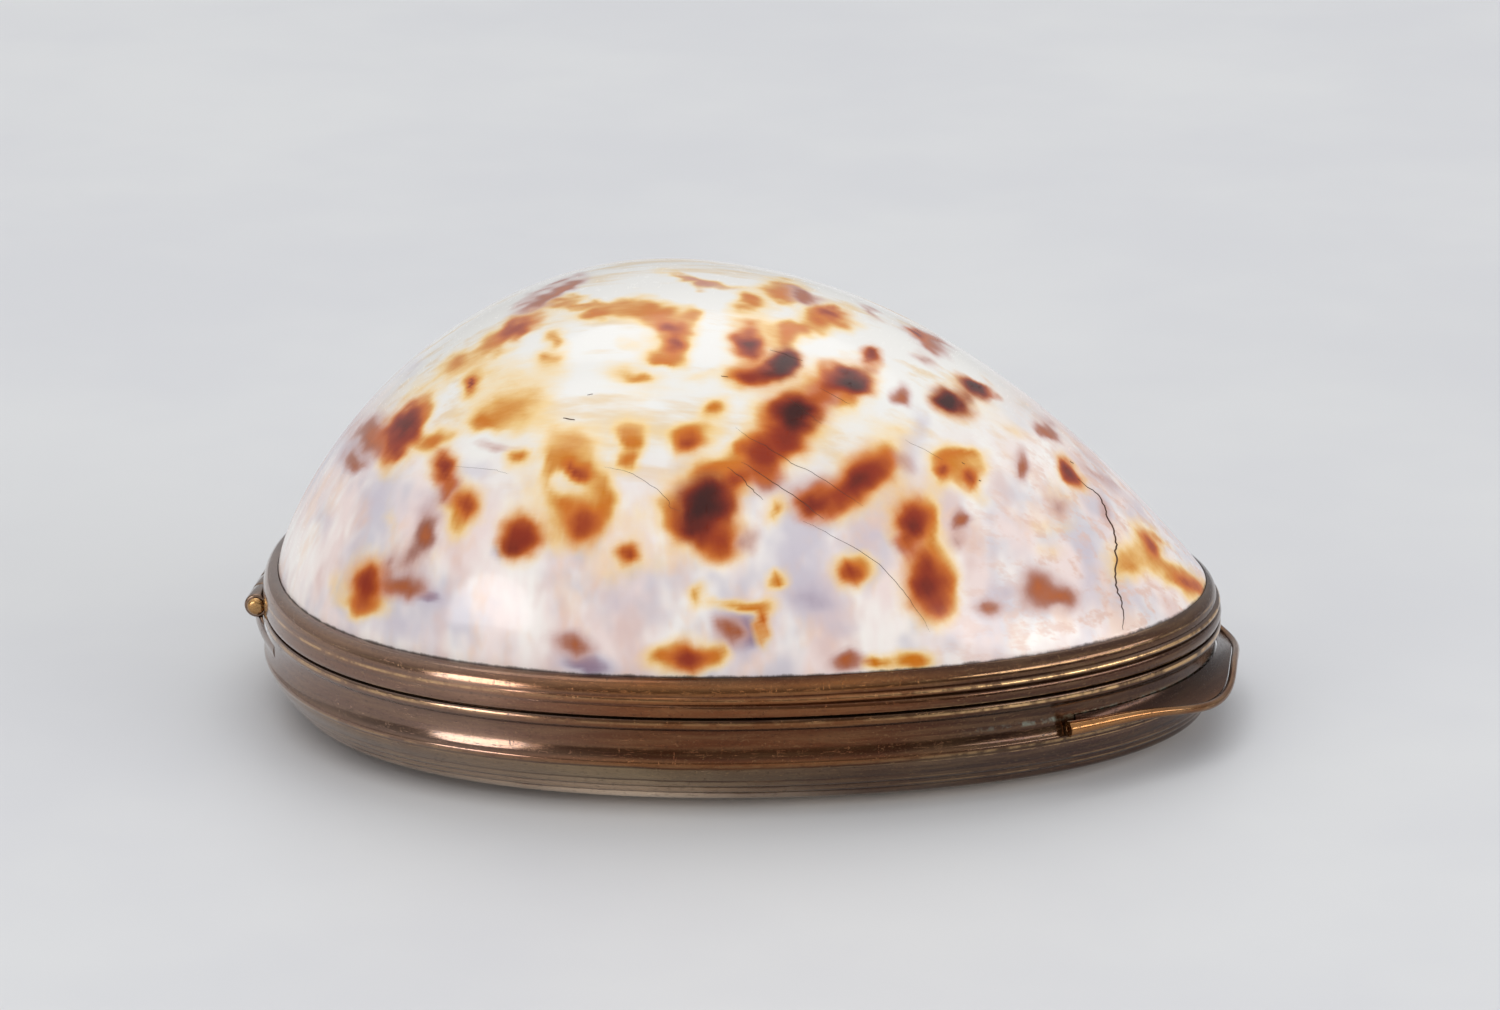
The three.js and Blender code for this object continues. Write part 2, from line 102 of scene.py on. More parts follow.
def srgb(red: int, green: int, blue: int) -> Colour:
    """Colour as a shader wants it.

    Args:
        red: Red as seen, 0 to 255.
        green: Green as seen, 0 to 255.
        blue: Blue as seen, 0 to 255.

    Returns:
        The linear colour with an alpha of 1.
    """
    def linear(value: int) -> float:
        """Linear value of one channel."""
        share = value / 255
        return share / 12.92 if share <= 0.04045 else ((share + 0.055) / 1.055) ** 2.4
    return (linear(red), linear(green), linear(blue), 1.0)


# Meshes


def shallow_curve(
    start: SectionPoint, end: SectionPoint, bulge: float, steps: int,
) -> list[SectionPoint]:
    """Shallow curve between two section points, without its start.

    Args:
        start: First point, left out of the result.
        end: Last point.
        bulge: How far the middle swells out on a section drawn upwards.
        steps: Number of points in the result.

    Returns:
        The points of the curve.
    """
    along = Vector((end[0] - start[0], end[1] - start[1]))
    side = Vector((-along.y, along.x)).normalized()
    points = []
    for i in range(1, steps + 1):
        share = i / steps
        swell = 4 * bulge * share * (1 - share)
        points.append((
            start[0] + along.x * share + side.x * swell,
            start[1] + along.y * share + side.y * swell,
        ))
    return points


def swept(corners: int, steps: int, place: Place, looped: bool = True) -> bmesh.types.BMesh:
    """Spins a ring of corners and puts each vertex in its place.

    Args:
        corners: Number of corners of the section.
        steps: Number of sections along the way.
        place: Gives the place of a corner at a share of the way.
        looped: Whether the way closes on itself. If not, its ends are filled.

    Returns:
        A closed mesh in millimetres.
    """
    mesh = bmesh.new()
    corner_of = mesh.verts.layers.int.new("corner")
    stand = Matrix.Translation((SPIN_RADIUS, 0, 0)) @ Matrix.Rotation(math.pi / 2, 4, "X")
    ring = bmesh.ops.create_circle(mesh, segments=corners, radius=1, matrix=stand)
    for index, vert in enumerate(ring["verts"]):
        vert[corner_of] = index
    turn = FULL_TURN if looped else OPEN_SPIN
    bmesh.ops.spin(
        mesh, geom=mesh.verts[:] + mesh.edges[:], cent=(0, 0, 0), axis=(0, 0, 1),
        dvec=(0, 0, 0), angle=turn, steps=steps, use_merge=looped, use_duplicate=False,
    )
    for vert in mesh.verts:
        angle = math.atan2(vert.co.y, vert.co.x)
        station = round(angle / turn * steps)
        vert.co = place((station % steps if looped else station) / steps, vert[corner_of])
    if not looped:
        rims = [edge for edge in mesh.edges if edge.is_boundary]
        bmesh.ops.holes_fill(mesh, edges=rims, sides=0)
    bmesh.ops.remove_doubles(mesh, verts=mesh.verts, dist=WELD)
    strays = [edge for edge in mesh.edges if not edge.link_faces]
    bmesh.ops.delete(mesh, geom=strays, context="EDGES")
    bmesh.ops.recalc_face_normals(mesh, faces=mesh.faces)
    return mesh


def carried(
    section: Sequence[SectionPoint], point: Callable[[float, float, float], Vector], steps: int,
) -> bmesh.types.BMesh:
    """Carries a section once round a rim.

    Args:
        section: Closed loop of inset and height.
        point: Gives the rim's point for an angle, an inset and a height.
        steps: Number of sections.

    Returns:
        A closed mesh in millimetres.
    """
    def place(share: float, corner: int) -> Vector:
        """Place of a section point at a share of the way round."""
        return point(FULL_TURN * share, *section[corner])
    return swept(len(section), steps, place)


def turned(profile: Sequence[SectionPoint], centre: Vector, steps: int = 64) -> bmesh.types.BMesh:
    """Piece turned about an axis that runs along Y.

    Args:
        profile: Closed loop of radius and distance along the axis.
        centre: Point on the axis from which the distances are measured.
        steps: Number of steps round the axis.

    Returns:
        A closed mesh in millimetres.
    """
    def place(share: float, corner: int) -> Vector:
        """Place of a profile point at a share of the turn.

        Args:
            share: Share of the turn, from 0 to 1.
            corner: Number of the profile point.

        Returns:
            The place in millimetres.
        """
        radius, along = profile[corner]
        turn = FULL_TURN * share
        return centre + Vector((radius * math.cos(turn), along, radius * math.sin(turn)))
    return swept(len(profile), steps, place)


def soften(mesh: bmesh.types.BMesh, radius: float, least_angle: float = 24) -> None:
    """Rounds the sharp edges of a mesh, as handling does.

    Args:
        mesh: The mesh in millimetres.
        radius: Width of the rounding.
        least_angle: Smallest fold in degrees that counts as sharp.
    """
    fold = math.radians(least_angle)
    sharp = [edge for edge in mesh.edges if edge.calc_face_angle(0) > fold]
    bmesh.ops.bevel(
        mesh, geom=sharp, offset=radius, offset_type="OFFSET", affect="EDGES",
        segments=2, profile=0.5, material=-1, clamp_overlap=True,
    )


def to_metres(mesh: bmesh.types.BMesh, name: str) -> bpy.types.Mesh:
    """Turns a mesh in millimetres into mesh data in metres.

    Args:
        mesh: The mesh, which is freed.
        name: Name of the data.

    Returns:
        The mesh data.
    """
    bmesh.ops.scale(mesh, vec=(MM, MM, MM), verts=mesh.verts)
    data = bpy.data.meshes.new(name)
    mesh.to_mesh(data)
    mesh.free()
    return data


@dataclass
class Piece:
    """A finished piece: which nodes it stands for, what carries it and what it is made of."""

    name: str
    nodes: tuple[str, ...]
    body: Body
    slot: Slot
    material: bpy.types.Material

    def from_mesh(self, mesh: bmesh.types.BMesh) -> bpy.types.Object:
        """Puts a mesh in millimetres into the scene as this piece.

        Args:
            mesh: The mesh, which is freed.

        Returns:
            The new object, at the origin, with its place in its mesh.
        """
        data = to_metres(mesh, self.name)
        data.shade_smooth()
        data.set_sharp_from_angle(angle=SHARP_ANGLE)
        return self.declare(bpy.data.objects.new(self.name, data))

    def declare(self, piece: bpy.types.Object) -> bpy.types.Object:
        """Links an object, dresses it, hangs it on its body and hides the nodes that it stands for.

        Args:
            piece: The object.

        Returns:
            The same object.
        """
        bpy.context.scene.collection.objects.link(piece)
        piece.data.materials.clear()
        piece.data.materials.append(self.material)
        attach(piece, self.body.value)
        if self.nodes:
            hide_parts(*self.nodes)
        log.info("%s on the %s", self.name, self.body.value)
        return piece


def cut(piece: bpy.types.Object, tool: bmesh.types.BMesh) -> None:
    """Takes the room of a tool out of a piece.

    Args:
        piece: The object that is cut.
        tool: Closed mesh in millimetres, which is freed.
    """
    cutter = bpy.data.objects.new("cutter", to_metres(tool, "cutter"))
    bpy.context.scene.collection.objects.link(cutter)
    boolean = piece.modifiers.new("room", "BOOLEAN")
    boolean.operation = "DIFFERENCE"
    boolean.solver = "EXACT"
    boolean.object = cutter
    result = piece.evaluated_get(bpy.context.evaluated_depsgraph_get())
    cut_data = bpy.data.meshes.new_from_object(result)
    piece.modifiers.clear()
    piece.data = cut_data
    bpy.data.objects.remove(cutter)


# Shapes of the box


@dataclass(frozen=True)
class Rim:
    """Egg outline of the rims, and the parting line between box and lid."""

    length: float = 78.0
    width: float = 54.56
    taper: float = 0.165
    end_fullness: float = 0.09
    parting: float = 8.2
    half_gap: float = 0.1
    stations: int = 288

    def point(self, angle: float, inset: float, height: float) -> Vector:
        """Point at an angle from +X, inside the outline by an inset.

        Args:
            angle: Angle in radians.
            inset: Distance inwards from the outline.
            height: Height above the parting line.

        Returns:
            The point in millimetres.
        """
        c, s = math.cos(angle), math.sin(angle)
        fullness = 1 - self.taper * c + self.end_fullness * c * c
        slope = self.taper * s - 2 * self.end_fullness * c * s
        along = Vector((-self.length / 2 * s, self.width / 2 * (c * fullness + s * slope)))
        along.normalize()
        return Vector((
            self.length / 2 * c - inset * along.y,
            self.width / 2 * s * fullness + inset * along.x,
            self.parting + height,
        ))

    @lru_cache(maxsize=None)
    def angle_after(self, start: float, distance: float) -> float:
        """Angle reached by walking along the outline.

        Args:
            start: Starting angle.
            distance: Distance walked anticlockwise.

        Returns:
            The angle reached.
        """
        steps, probe = 200, 0.001
        angle = start
        for _ in range(steps):
            reach = (self.point(angle, 0, 0) - self.point(angle + probe, 0, 0)).length / probe
            angle += distance / steps / reach
        return angle


@dataclass(frozen=True)
class Hinge:
    """Barrel of five knuckles on one pin, let into the rims."""

    rim: Rim
    setback: float = 0.2
    barrel_radius: float = 1.0
    bore_radius: float = 0.6
    pin_radius: float = 0.45
    head_radius: float = 0.72
    head_thickness: float = 0.35
    head_rim: float = 0.12
    head_top_radius: float = 0.36
    head_bulge: float = 0.06
    head_steps: int = 4
    knuckle_length: float = 2.6
    knuckle_gap: float = 0.15
    knuckle_count: int = 5
    close_fit: float = 0.05
    clearance: float = 0.25
    edge: float = 0.12
    bearer_width: float = 27.0
    bearer_height: float = 2.2
    bearer_tip_height: float = 1.0
    bearer_drop: float = 0.4
    bearer_proud: float = 0.9
    bearer_tip_proud: float = 0.12

    @property
    def centre(self) -> Vector:
        """Middle of the hinge axis."""
        return Vector((-self.rim.length / 2 + self.setback, 0, self.rim.parting))

    @property
    def pitch(self) -> float:
        """Distance between the middles of two knuckles."""
        return self.knuckle_length + self.knuckle_gap

    @property
    def half_barrel(self) -> float:
        """Half the length of the barrel."""
        return (self.knuckle_count * self.pitch - self.knuckle_gap) / 2

    def on_lid(self, index: int) -> bool:
        """Whether a knuckle belongs to the lid."""
        return index % 2 == 0

    def knuckle(self, index: int) -> bmesh.types.BMesh:
        """One knuckle, its corners broken.

        Args:
            index: Its place in the barrel, counted from 0.

        Returns:
            A closed mesh in millimetres.
        """
        half = self.knuckle_length / 2
        middle = (index - (self.knuckle_count - 1) / 2) * self.pitch
        mesh = turned([
            (self.bore_radius, -half),
            (self.barrel_radius - self.edge, -half),
            (self.barrel_radius, self.edge - half),
            (self.barrel_radius, half - self.edge),
            (self.barrel_radius - self.edge, half),
            (self.bore_radius, half),
        ], self.centre + Vector((0, middle, 0)))
        soften(mesh, self.edge / 3)
        return mesh

    def pin(self) -> bmesh.types.BMesh:
        """Pin with a rounded head at each end.

        Returns:
            A closed mesh in millimetres.
        """
        seat = self.half_barrel + self.close_fit
        end = seat + self.head_thickness
        rim, top = (self.head_radius, seat + self.head_rim), (self.head_top_radius, end)
        half = [
            (self.pin_radius, seat),
            (self.head_radius, seat),
            rim,
            *shallow_curve(rim, top, -self.head_bulge, self.head_steps),
            (0.0, end),
        ]
        mirrored = [(radius, -along) for radius, along in reversed(half)]
        return turned([*mirrored, *half], self.centre)

    def room(self, of_lid: bool) -> bmesh.types.BMesh:
        """Bed of the barrel in a rim: close round its own knuckles, free round the others.

        Args:
            of_lid: Whether the rim is the lid's.

        Returns:
            A closed mesh to cut with.
        """
        end = self.half_barrel + self.head_thickness + self.clearance
        head_room = self.head_radius + self.clearance
        outer = self.knuckle_count * self.pitch / 2
        profile = [(0.0, -end), (head_room, -end), (head_room, -outer)]
        for index in range(self.knuckle_count):
            own = self.on_lid(index) == of_lid
            radius = self.barrel_radius + (self.close_fit if own else self.clearance)
            start = index * self.pitch - outer
            profile += [(radius, start), (radius, start + self.pitch)]
        profile += [(head_room, outer), (head_room, end), (0.0, end)]
        return turned(profile, self.centre)

    def bearer(self) -> bmesh.types.BMesh:
        """Strip that carries the lid's knuckles and fades out to each side.

        Returns:
            A closed mesh in millimetres.
        """
        stations = 72
        section_points = 12

        def place(share: float, corner: int) -> Vector:
            """Place of a corner of the strip's rounded section.

            Args:
                share: Share of the way, from 0 to 1.
                corner: Number of the corner.

            Returns:
                The place in millimetres.
            """
            off = share * 2 - 1
            fade = math.cos(math.pi / 2 * off) ** 2
            proud = self.bearer_tip_proud + (self.bearer_proud - self.bearer_tip_proud) * fade
            half = (self.bearer_tip_height
                    + (self.bearer_height - self.bearer_tip_height) * fade) / 2
            middle = -self.bearer_drop - self.bearer_height / 2
            rise = 1 - 2 * corner / (section_points - 1)
            inset = -self.close_fit - proud * (1 - rise * rise)
            angle = self.rim.angle_after(math.pi, self.bearer_width / 2 * off)
            return self.rim.point(angle, inset, middle + half * rise)
        return swept(section_points, stations, place, looped=False)


@dataclass(frozen=True)
class Collar:
    """Moulded collar that grips the shell, and the bearing lip soldered inside it."""

    rim: Rim
    height: float = 3.06
    lower_band: float = 0.95
    lower_bulge: float = 0.12
    lower_steps: int = 10
    groove: float = 0.12
    groove_depth: float = 0.22
    worn_until: float = -0.5
    crisp_from: float = 0.5
    worn_roundness: float = 3.0
    bead: float = 0.5
    bead_inset: float = 0.24
    bead_bulge: float = 0.14
    bead_steps: int = 8
    upper_inset: float = 0.42
    upper_bulge: float = 0.24
    upper_steps: int = 14
    shell_inset: float = 1.3
    fit: float = 0.05
    worn_edge: float = 0.04
    lip_wall: float = 0.5
    lip_reach: float = 1.9
    lip_chamfer: float = 0.15
    lip_worn_edge: float = 0.05
    seat_height: float = 0.25
    seat_top: float = 0.62
    shell_wall: float = 2.6

    def moulded(self) -> list[SectionPoint]:
        """Section with its two bands and the bead between them.

        Returns:
            Closed loop of inset and height.
        """
        inner = self.shell_inset - self.fit
        foot = self.rim.half_gap
        lower_top = foot + self.lower_band
        bead_foot = lower_top + self.groove
        bead_top = bead_foot + self.bead
        upper_foot = bead_top + self.groove
        bulge, inset, depth = self.lower_bulge, self.bead_inset, self.groove_depth
        return [
            (inner, foot),
            (bulge, foot),
            *shallow_curve((bulge, foot), (bulge, lower_top), bulge, self.lower_steps),
            (inset + depth / 2, (lower_top + bead_foot) / 2),
            (inset, bead_foot),
            *shallow_curve(
                (inset, bead_foot), (inset, bead_top), self.bead_bulge, self.bead_steps,
            ),
            (inset + depth, (bead_top + upper_foot) / 2),
            (self.upper_inset, upper_foot),
            *shallow_curve(
                (self.upper_inset, upper_foot), (inner, self.height), self.upper_bulge,
                self.upper_steps,
            ),
        ]

    def smooth(self, height: float) -> float:
        """Inset of the worn section, which is one smooth swell.

        Args:
            height: Height above the parting line.

        Returns:
            The inset at that height.
        """
        foot, crest = self.rim.half_gap, self.rim.half_gap + self.lower_band / 2
        if height < crest:
            return self.lower_bulge * ((crest - height) / (crest - foot)) ** 2
        rise = (height - crest) / (self.height - crest)
        fullness = max(0.0, 1 - rise ** self.worn_roundness) ** (1 / self.worn_roundness)
        return (self.shell_inset - self.fit) * (1 - fullness)

    def ring(self) -> bmesh.types.BMesh:
        """The collar itself, its mouldings rubbed away towards the hinge.

        Returns:
            A closed mesh in millimetres.
        """
        section = self.moulded()

        def place(share: float, corner: int) -> Vector:
            """Place of a section point, crisp or worn.

            Args:
                share: Share of the way, from 0 to 1.
                corner: Number of the corner.

            Returns:
                The place in millimetres.
            """
            angle = FULL_TURN * share
            crisp = (math.cos(angle) - self.worn_until) / (self.crisp_from - self.worn_until)
            crisp = min(1.0, max(0.0, crisp))
            crisp *= crisp * (3 - 2 * crisp)
            inset, height = section[corner]
            if corner:
                inset = self.smooth(height) + (inset - self.smooth(height)) * crisp
            return self.rim.point(angle, inset, height)
        mesh = swept(len(section), self.rim.stations, place)
        soften(mesh, self.worn_edge)
        return mesh

    def bearing_lip(self) -> bmesh.types.BMesh:
        """Strip that enters the lid, with the seat under the shell.

        Returns:
            A closed mesh in millimetres.
        """
        inset = self.shell_inset
        inner = inset + self.lip_wall
        bowl = inset + self.shell_wall
        section = [
            (inset, self.seat_top),
            (inset, self.lip_chamfer - self.lip_reach),
            (inset + self.lip_chamfer, -self.lip_reach),
            (inner, -self.lip_reach),
            (inner, self.seat_height),
            (bowl, self.seat_height),
            (bowl, self.seat_top),
        ]
        mesh = carried(section, self.rim.point, self.rim.stations)
        soften(mesh, self.lip_worn_edge)
        return mesh


@dataclass(frozen=True)
class Lid:
    """Shallow moulded lid on which the box stands."""

    rim: Rim
    wall: float = 1.1
    bead_height: float = 0.75
    bead_bulge: float = 0.1
    band_step: float = 0.3
    band_height: float = 2.55
    band_hollow: float = 0.2
    arris_height: float = 0.65
    arris_bulge: float = 0.14
    turn_height: float = 1.25
    turn_inset: float = 0.45
    turn_bulge: float = 0.1
    reed_count: int = 3
    reed_height: float = 0.64
    reed_inset: float = 0.44
    reed_bulge: float = 0.11
    curve_steps: int = 8
    band_steps: int = 12
    reed_steps: int = 6
    worn_edge: float = 0.035
    foot_shift: float = 0.6
    plate_thickness: float = 0.75
    plate_edge_width: float = 3.6
    plate_edge_bulge: float = 0.12
    plate_fit: float = 0.05
    plate_worn_edge: float = 0.05

    @property
    def arris_foot(self) -> float:
        """Height of the arris's lower edge."""
        return -self.rim.half_gap - self.bead_height - self.band_height - self.arris_height

    @property
    def foot(self) -> SectionPoint:
        """Outer corner where the plate is let in.

        Returns:
            Its inset and height.
        """
        return (
            self.bead_bulge + self.turn_inset + self.reed_count * self.reed_inset,
            self.arris_foot - self.turn_height - self.reed_count * self.reed_height,
        )

    @property
    def plate_step(self) -> Vector:
        """Step through the plate's thickness, square to its turned-up edge."""
        slope = Vector((self.plate_edge_width, -self.rim.parting - self.foot[1])).normalized()
        return Vector((-slope.y, slope.x)) * self.plate_thickness

    def point(self, angle: float, inset: float, height: float) -> Vector:
        """Point of the lid, whose side leans below the arris and stands nearer the thumb lip.

        Args:
            angle: Angle in radians.
            inset: Distance inwards from the outline.
            height: Height above the parting line.

        Returns:
            The point in millimetres.
        """
        lean = (self.arris_foot - height) / (self.arris_foot - self.foot[1])
        shift = self.foot_shift * min(1.0, max(0.0, lean)) * math.cos(angle)
        return self.rim.point(angle, inset - shift, height)

    def side(self) -> bmesh.types.BMesh:
        """Moulded side of the lid.

        Returns:
            A closed mesh in millimetres.
        """
        face = self.bead_bulge
        top = -self.rim.half_gap
        band_foot = self.arris_foot + self.arris_height
        bead_foot = band_foot + self.band_height
        turn_foot = (face + self.turn_inset, self.arris_foot - self.turn_height)
        arris, steps = (face, self.arris_foot), self.curve_steps
        section = [
            (face, top),
            *shallow_curve((face, top), (face, bead_foot), -self.bead_bulge, steps),
            *shallow_curve(
                (self.band_step, bead_foot), (face, band_foot), self.band_hollow, self.band_steps,
            ),
            *shallow_curve((face, band_foot), arris, -self.arris_bulge, steps),
            *shallow_curve(arris, turn_foot, -self.turn_bulge, steps),
        ]
        reed_top = turn_foot
        for _ in range(self.reed_count):
            reed_foot = (reed_top[0] + self.reed_inset, reed_top[1] - self.reed_height)
            section += shallow_curve(reed_top, reed_foot, -self.reed_bulge, self.reed_steps)
            reed_top = reed_foot
        foot, step = self.foot, self.plate_step
        section += [
            (foot[0] + step.x, foot[1] + step.y),
            (self.wall, self.arris_foot),
            (self.wall, top),
        ]
        mesh = carried(section, self.point, self.rim.stations)
        soften(mesh, self.worn_edge)
        return mesh

    def plate(self) -> bmesh.types.BMesh:
        """Resting plate, its edge turned up to the moulded side.

        Returns:
            A closed mesh in millimetres.
        """
        foot, step = self.foot, self.plate_step
        edge = (foot[0] + self.plate_fit, foot[1])
        flat = (foot[0] + self.plate_edge_width, -self.rim.parting)
        inner = (edge[0] + step.x, edge[1] + step.y)
        inner_flat = (flat[0], flat[1] + self.plate_thickness)
        curve = shallow_curve(flat, edge, self.plate_edge_bulge, self.curve_steps)
        section = [inner_flat, inner, *reversed(curve), flat]
        crown = len(section)

        def place(share: float, corner: int) -> Vector:
            """Place of a point of the plate, whose last two corners meet in the middle.

            Args:
                share: Share of the way, from 0 to 1.
                corner: Number of the corner.

            Returns:
                The place in millimetres.
            """
            if corner >= crown:
                return Vector((0, 0, 0 if corner == crown else self.plate_thickness))
            return self.point(FULL_TURN * share, *section[corner])
        mesh = swept(crown + 2, self.rim.stations, place)
        soften(mesh, self.plate_worn_edge)
        return mesh


@dataclass(frozen=True)
class ThumbLip:
    """Scalloped ledge with a rolled edge round the narrow end of the lid."""

    rim: Rim
    lid: Lid
    width: float = 43.6
    lobe_spacing: float = 13.7
    lobe_width: float = 5.8
    lobe_proud: float = 1.325
    wing_proud: float = 0.52
    root_depth: float = 2.35
    edge_depth: float = 2.87
    dip: float = 0.88
    thickness: float = 0.4
    hollow_share: float = 0.1
    fit: float = 0.05
    tip_radius: float = 0.64
    middle_radius: float = 0.3
    end_bore: float = 0.26
    end_depth: float = 0.9
    ledge_share: float = 0.95
    worn_edge: float = 0.05
    least_fold: float = 40
    stations: int = 132

    def angle(self, share: float, shift: float = 0.0) -> float:
        """Rim angle at a share of the way from the middle (0) to a tip (-1 or 1)."""
        return self.rim.angle_after(0.0, self.width / 2 * share + shift)

    def proud(self, share: float) -> float:
        """How far the rolled edge's centre stands out from the rim.

        Args:
            share: Share of the way from the middle (0) to a tip (-1 or 1).

        Returns:
            The distance in millimetres.
        """
        along = self.width / 2 * share
        lobes = sum(
            math.exp(-((along - side * self.lobe_spacing / 2) / self.lobe_width) ** 2)
            for side in (-1, 1)
        )
        return self.wing_proud + self.lobe_proud * lobes

    def roll_radius(self, share: float) -> float:
        """Radius of the roll, which tapers from its tips to its middle."""
        return self.middle_radius + (self.tip_radius - self.middle_radius) * share * share

    def roll_centre(self, share: float) -> SectionPoint:
        """Inset and height of the roll's centre."""
        proud = self.proud(share)
        return (-proud, -self.edge_depth - self.dip * (proud - self.wing_proud))

    def plate(self) -> bmesh.types.BMesh:
        """Ledge from the lid's hollow band out to the roll.

        Returns:
            A closed mesh in millimetres.
        """
        steps = 8
        half = self.thickness / 2
        root = self.lid.bead_bulge + self.lid.band_hollow / 2 + self.fit
        depth = self.root_depth
        sections = []
        for index in range(self.stations + 1):
            share = (index / self.stations * 2 - 1) * self.ledge_share
            inset, height = self.roll_centre(share)
            edge = inset + self.roll_radius(share) + self.fit
            hollow = self.hollow_share * (root - edge)
            above = shallow_curve((edge, height + half), (root, half - depth), -hollow, steps)
            sections.append([
                (root, half - depth),
                (root, -half - depth),
                *shallow_curve((root, -half - depth), (edge, height - half), hollow, steps),
                (edge, height + half),
                *above[:-1],
            ])

        def place(share: float, corner: int) -> Vector:
            """Place of a corner of the ledge at a share of its length.

            Args:
                share: Share of the length, from 0 to 1.
                corner: Number of the corner.

            Returns:
                The place in millimetres.
            """
            index = round(share * self.stations)
            angle = self.angle((share * 2 - 1) * self.ledge_share)
            return self.rim.point(angle, *sections[index][corner])
        return swept(len(sections[0]), self.stations, place, looped=False)

    def roll(self) -> bmesh.types.BMesh:
        """Rolled edge, an open-ended tube.

        Returns:
            A closed mesh in millimetres.
        """
        facets = 20
        ends = 2
        sections = self.stations + 2 * ends

        def place(share: float, corner: int) -> Vector:
            """Place of a corner of the tube, whose first and last rings line its open ends.

            Args:
                share: Share of the way, from 0 to 1.
                corner: Number of the corner.

            Returns:
                The place in millimetres.
            """
            index = round(share * sections) - ends
            along = min(max(index / self.stations, 0.0), 1.0) * 2 - 1
            depth = max(-index, index - self.stations, 0)
            radius = self.end_bore if depth else self.roll_radius(along)
            shift = -math.copysign(self.end_depth, along) if depth == ends else 0.0
            inset, height = self.roll_centre(along)
            turn = FULL_TURN * corner / facets
            return self.rim.point(
                self.angle(along, shift),
                inset + radius * math.cos(turn),
                height + radius * math.sin(turn),
            )
        mesh = swept(facets, sections, place, looped=False)
        soften(mesh, self.worn_edge, self.least_fold)
        return mesh


@dataclass(frozen=True)
class Dome:
    """Cowrie shell: a hollow dome whose crest lies towards the hinge."""

    rim: Rim
    collar: Collar
    rise: float = 23.9
    crest_shift: float = -3.3
    hinge_power: float = 1.3
    hinge_roundness: float = 0.42
    lip_power: float = 1.0
    lip_roundness: float = 0.5
    side_power: float = 1.7
    side_roundness: float = 0.4
    foot_height: float = 1.22
    outer_steps: int = 130
    inner_steps: int = 26
    stations: int = 320

    def point(self, angle: float, inset: float, rise: float, share: float) -> Vector:
        """Point of a dome at a share of its rise.

        Args:
            angle: Rim angle of the point's foot.
            inset: Inset of the dome's foot from the rim's outline.
            rise: Height of the dome above the collar.
            share: Share of the rise.

        Returns:
            The point in millimetres.
        """
        foot = self.rim.point(angle, inset, 0)
        half = self.rim.length / 2 - inset
        shift = self.crest_shift
        hinge_end = shift - (half + shift) * (1 - share ** self.hinge_power) ** self.hinge_roundness
        lip_end = shift + (half - shift) * (1 - share ** self.lip_power) ** self.lip_roundness
        side = (1 - share ** self.side_power) ** self.side_roundness
        return Vector((
            (hinge_end + lip_end) / 2 + foot.x / half * (lip_end - hinge_end) / 2,
            foot.y * side,
            self.rim.parting + self.collar.height + rise * share,
        ))

    def mesh(self) -> bmesh.types.BMesh:
        """Outside, foot and bowl of the shell as one closed body.

        Returns:
            A closed mesh in millimetres.
        """
        outside = self.collar.shell_inset
        bowl = outside + self.collar.shell_wall
        outer, inner = self.outer_steps, self.inner_steps

        def place(share: float, corner: int) -> Vector:
            """Place of a corner: outside from crest to foot, then the bowl from foot to crest.

            Args:
                share: Share of the way, from 0 to 1.
                corner: Number of the corner.

            Returns:
                The place in millimetres.
            """
            angle = FULL_TURN * share
            if corner <= outer:
                level = math.sin(math.pi / 2 * (1 - corner / outer))
                return self.point(angle, outside, self.rise, level)
            if corner <= outer + 2:
                inset = outside if corner == outer + 1 else bowl
                return self.rim.point(angle, inset, self.foot_height)
            level = math.sin(math.pi / 2 * (corner - outer - 3) / inner)
            return self.point(angle, bowl, self.rise - self.collar.shell_wall, level)
        return swept(outer + inner + 4, self.stations, place)


# Photograph's viewpoint


def direction(azimuth: float, elevation: float) -> Vector:
    """Direction away from the box.

    Args:
        azimuth: Angle in degrees round the box, 0 in front and 90 at the thumb lip.
        elevation: Angle in degrees above the table.

    Returns:
        The direction.
    """
    turn, rise = math.radians(azimuth), math.radians(elevation)
    return Vector((
        math.sin(turn) * math.cos(rise), -math.cos(turn) * math.cos(rise), math.sin(rise),
    ))


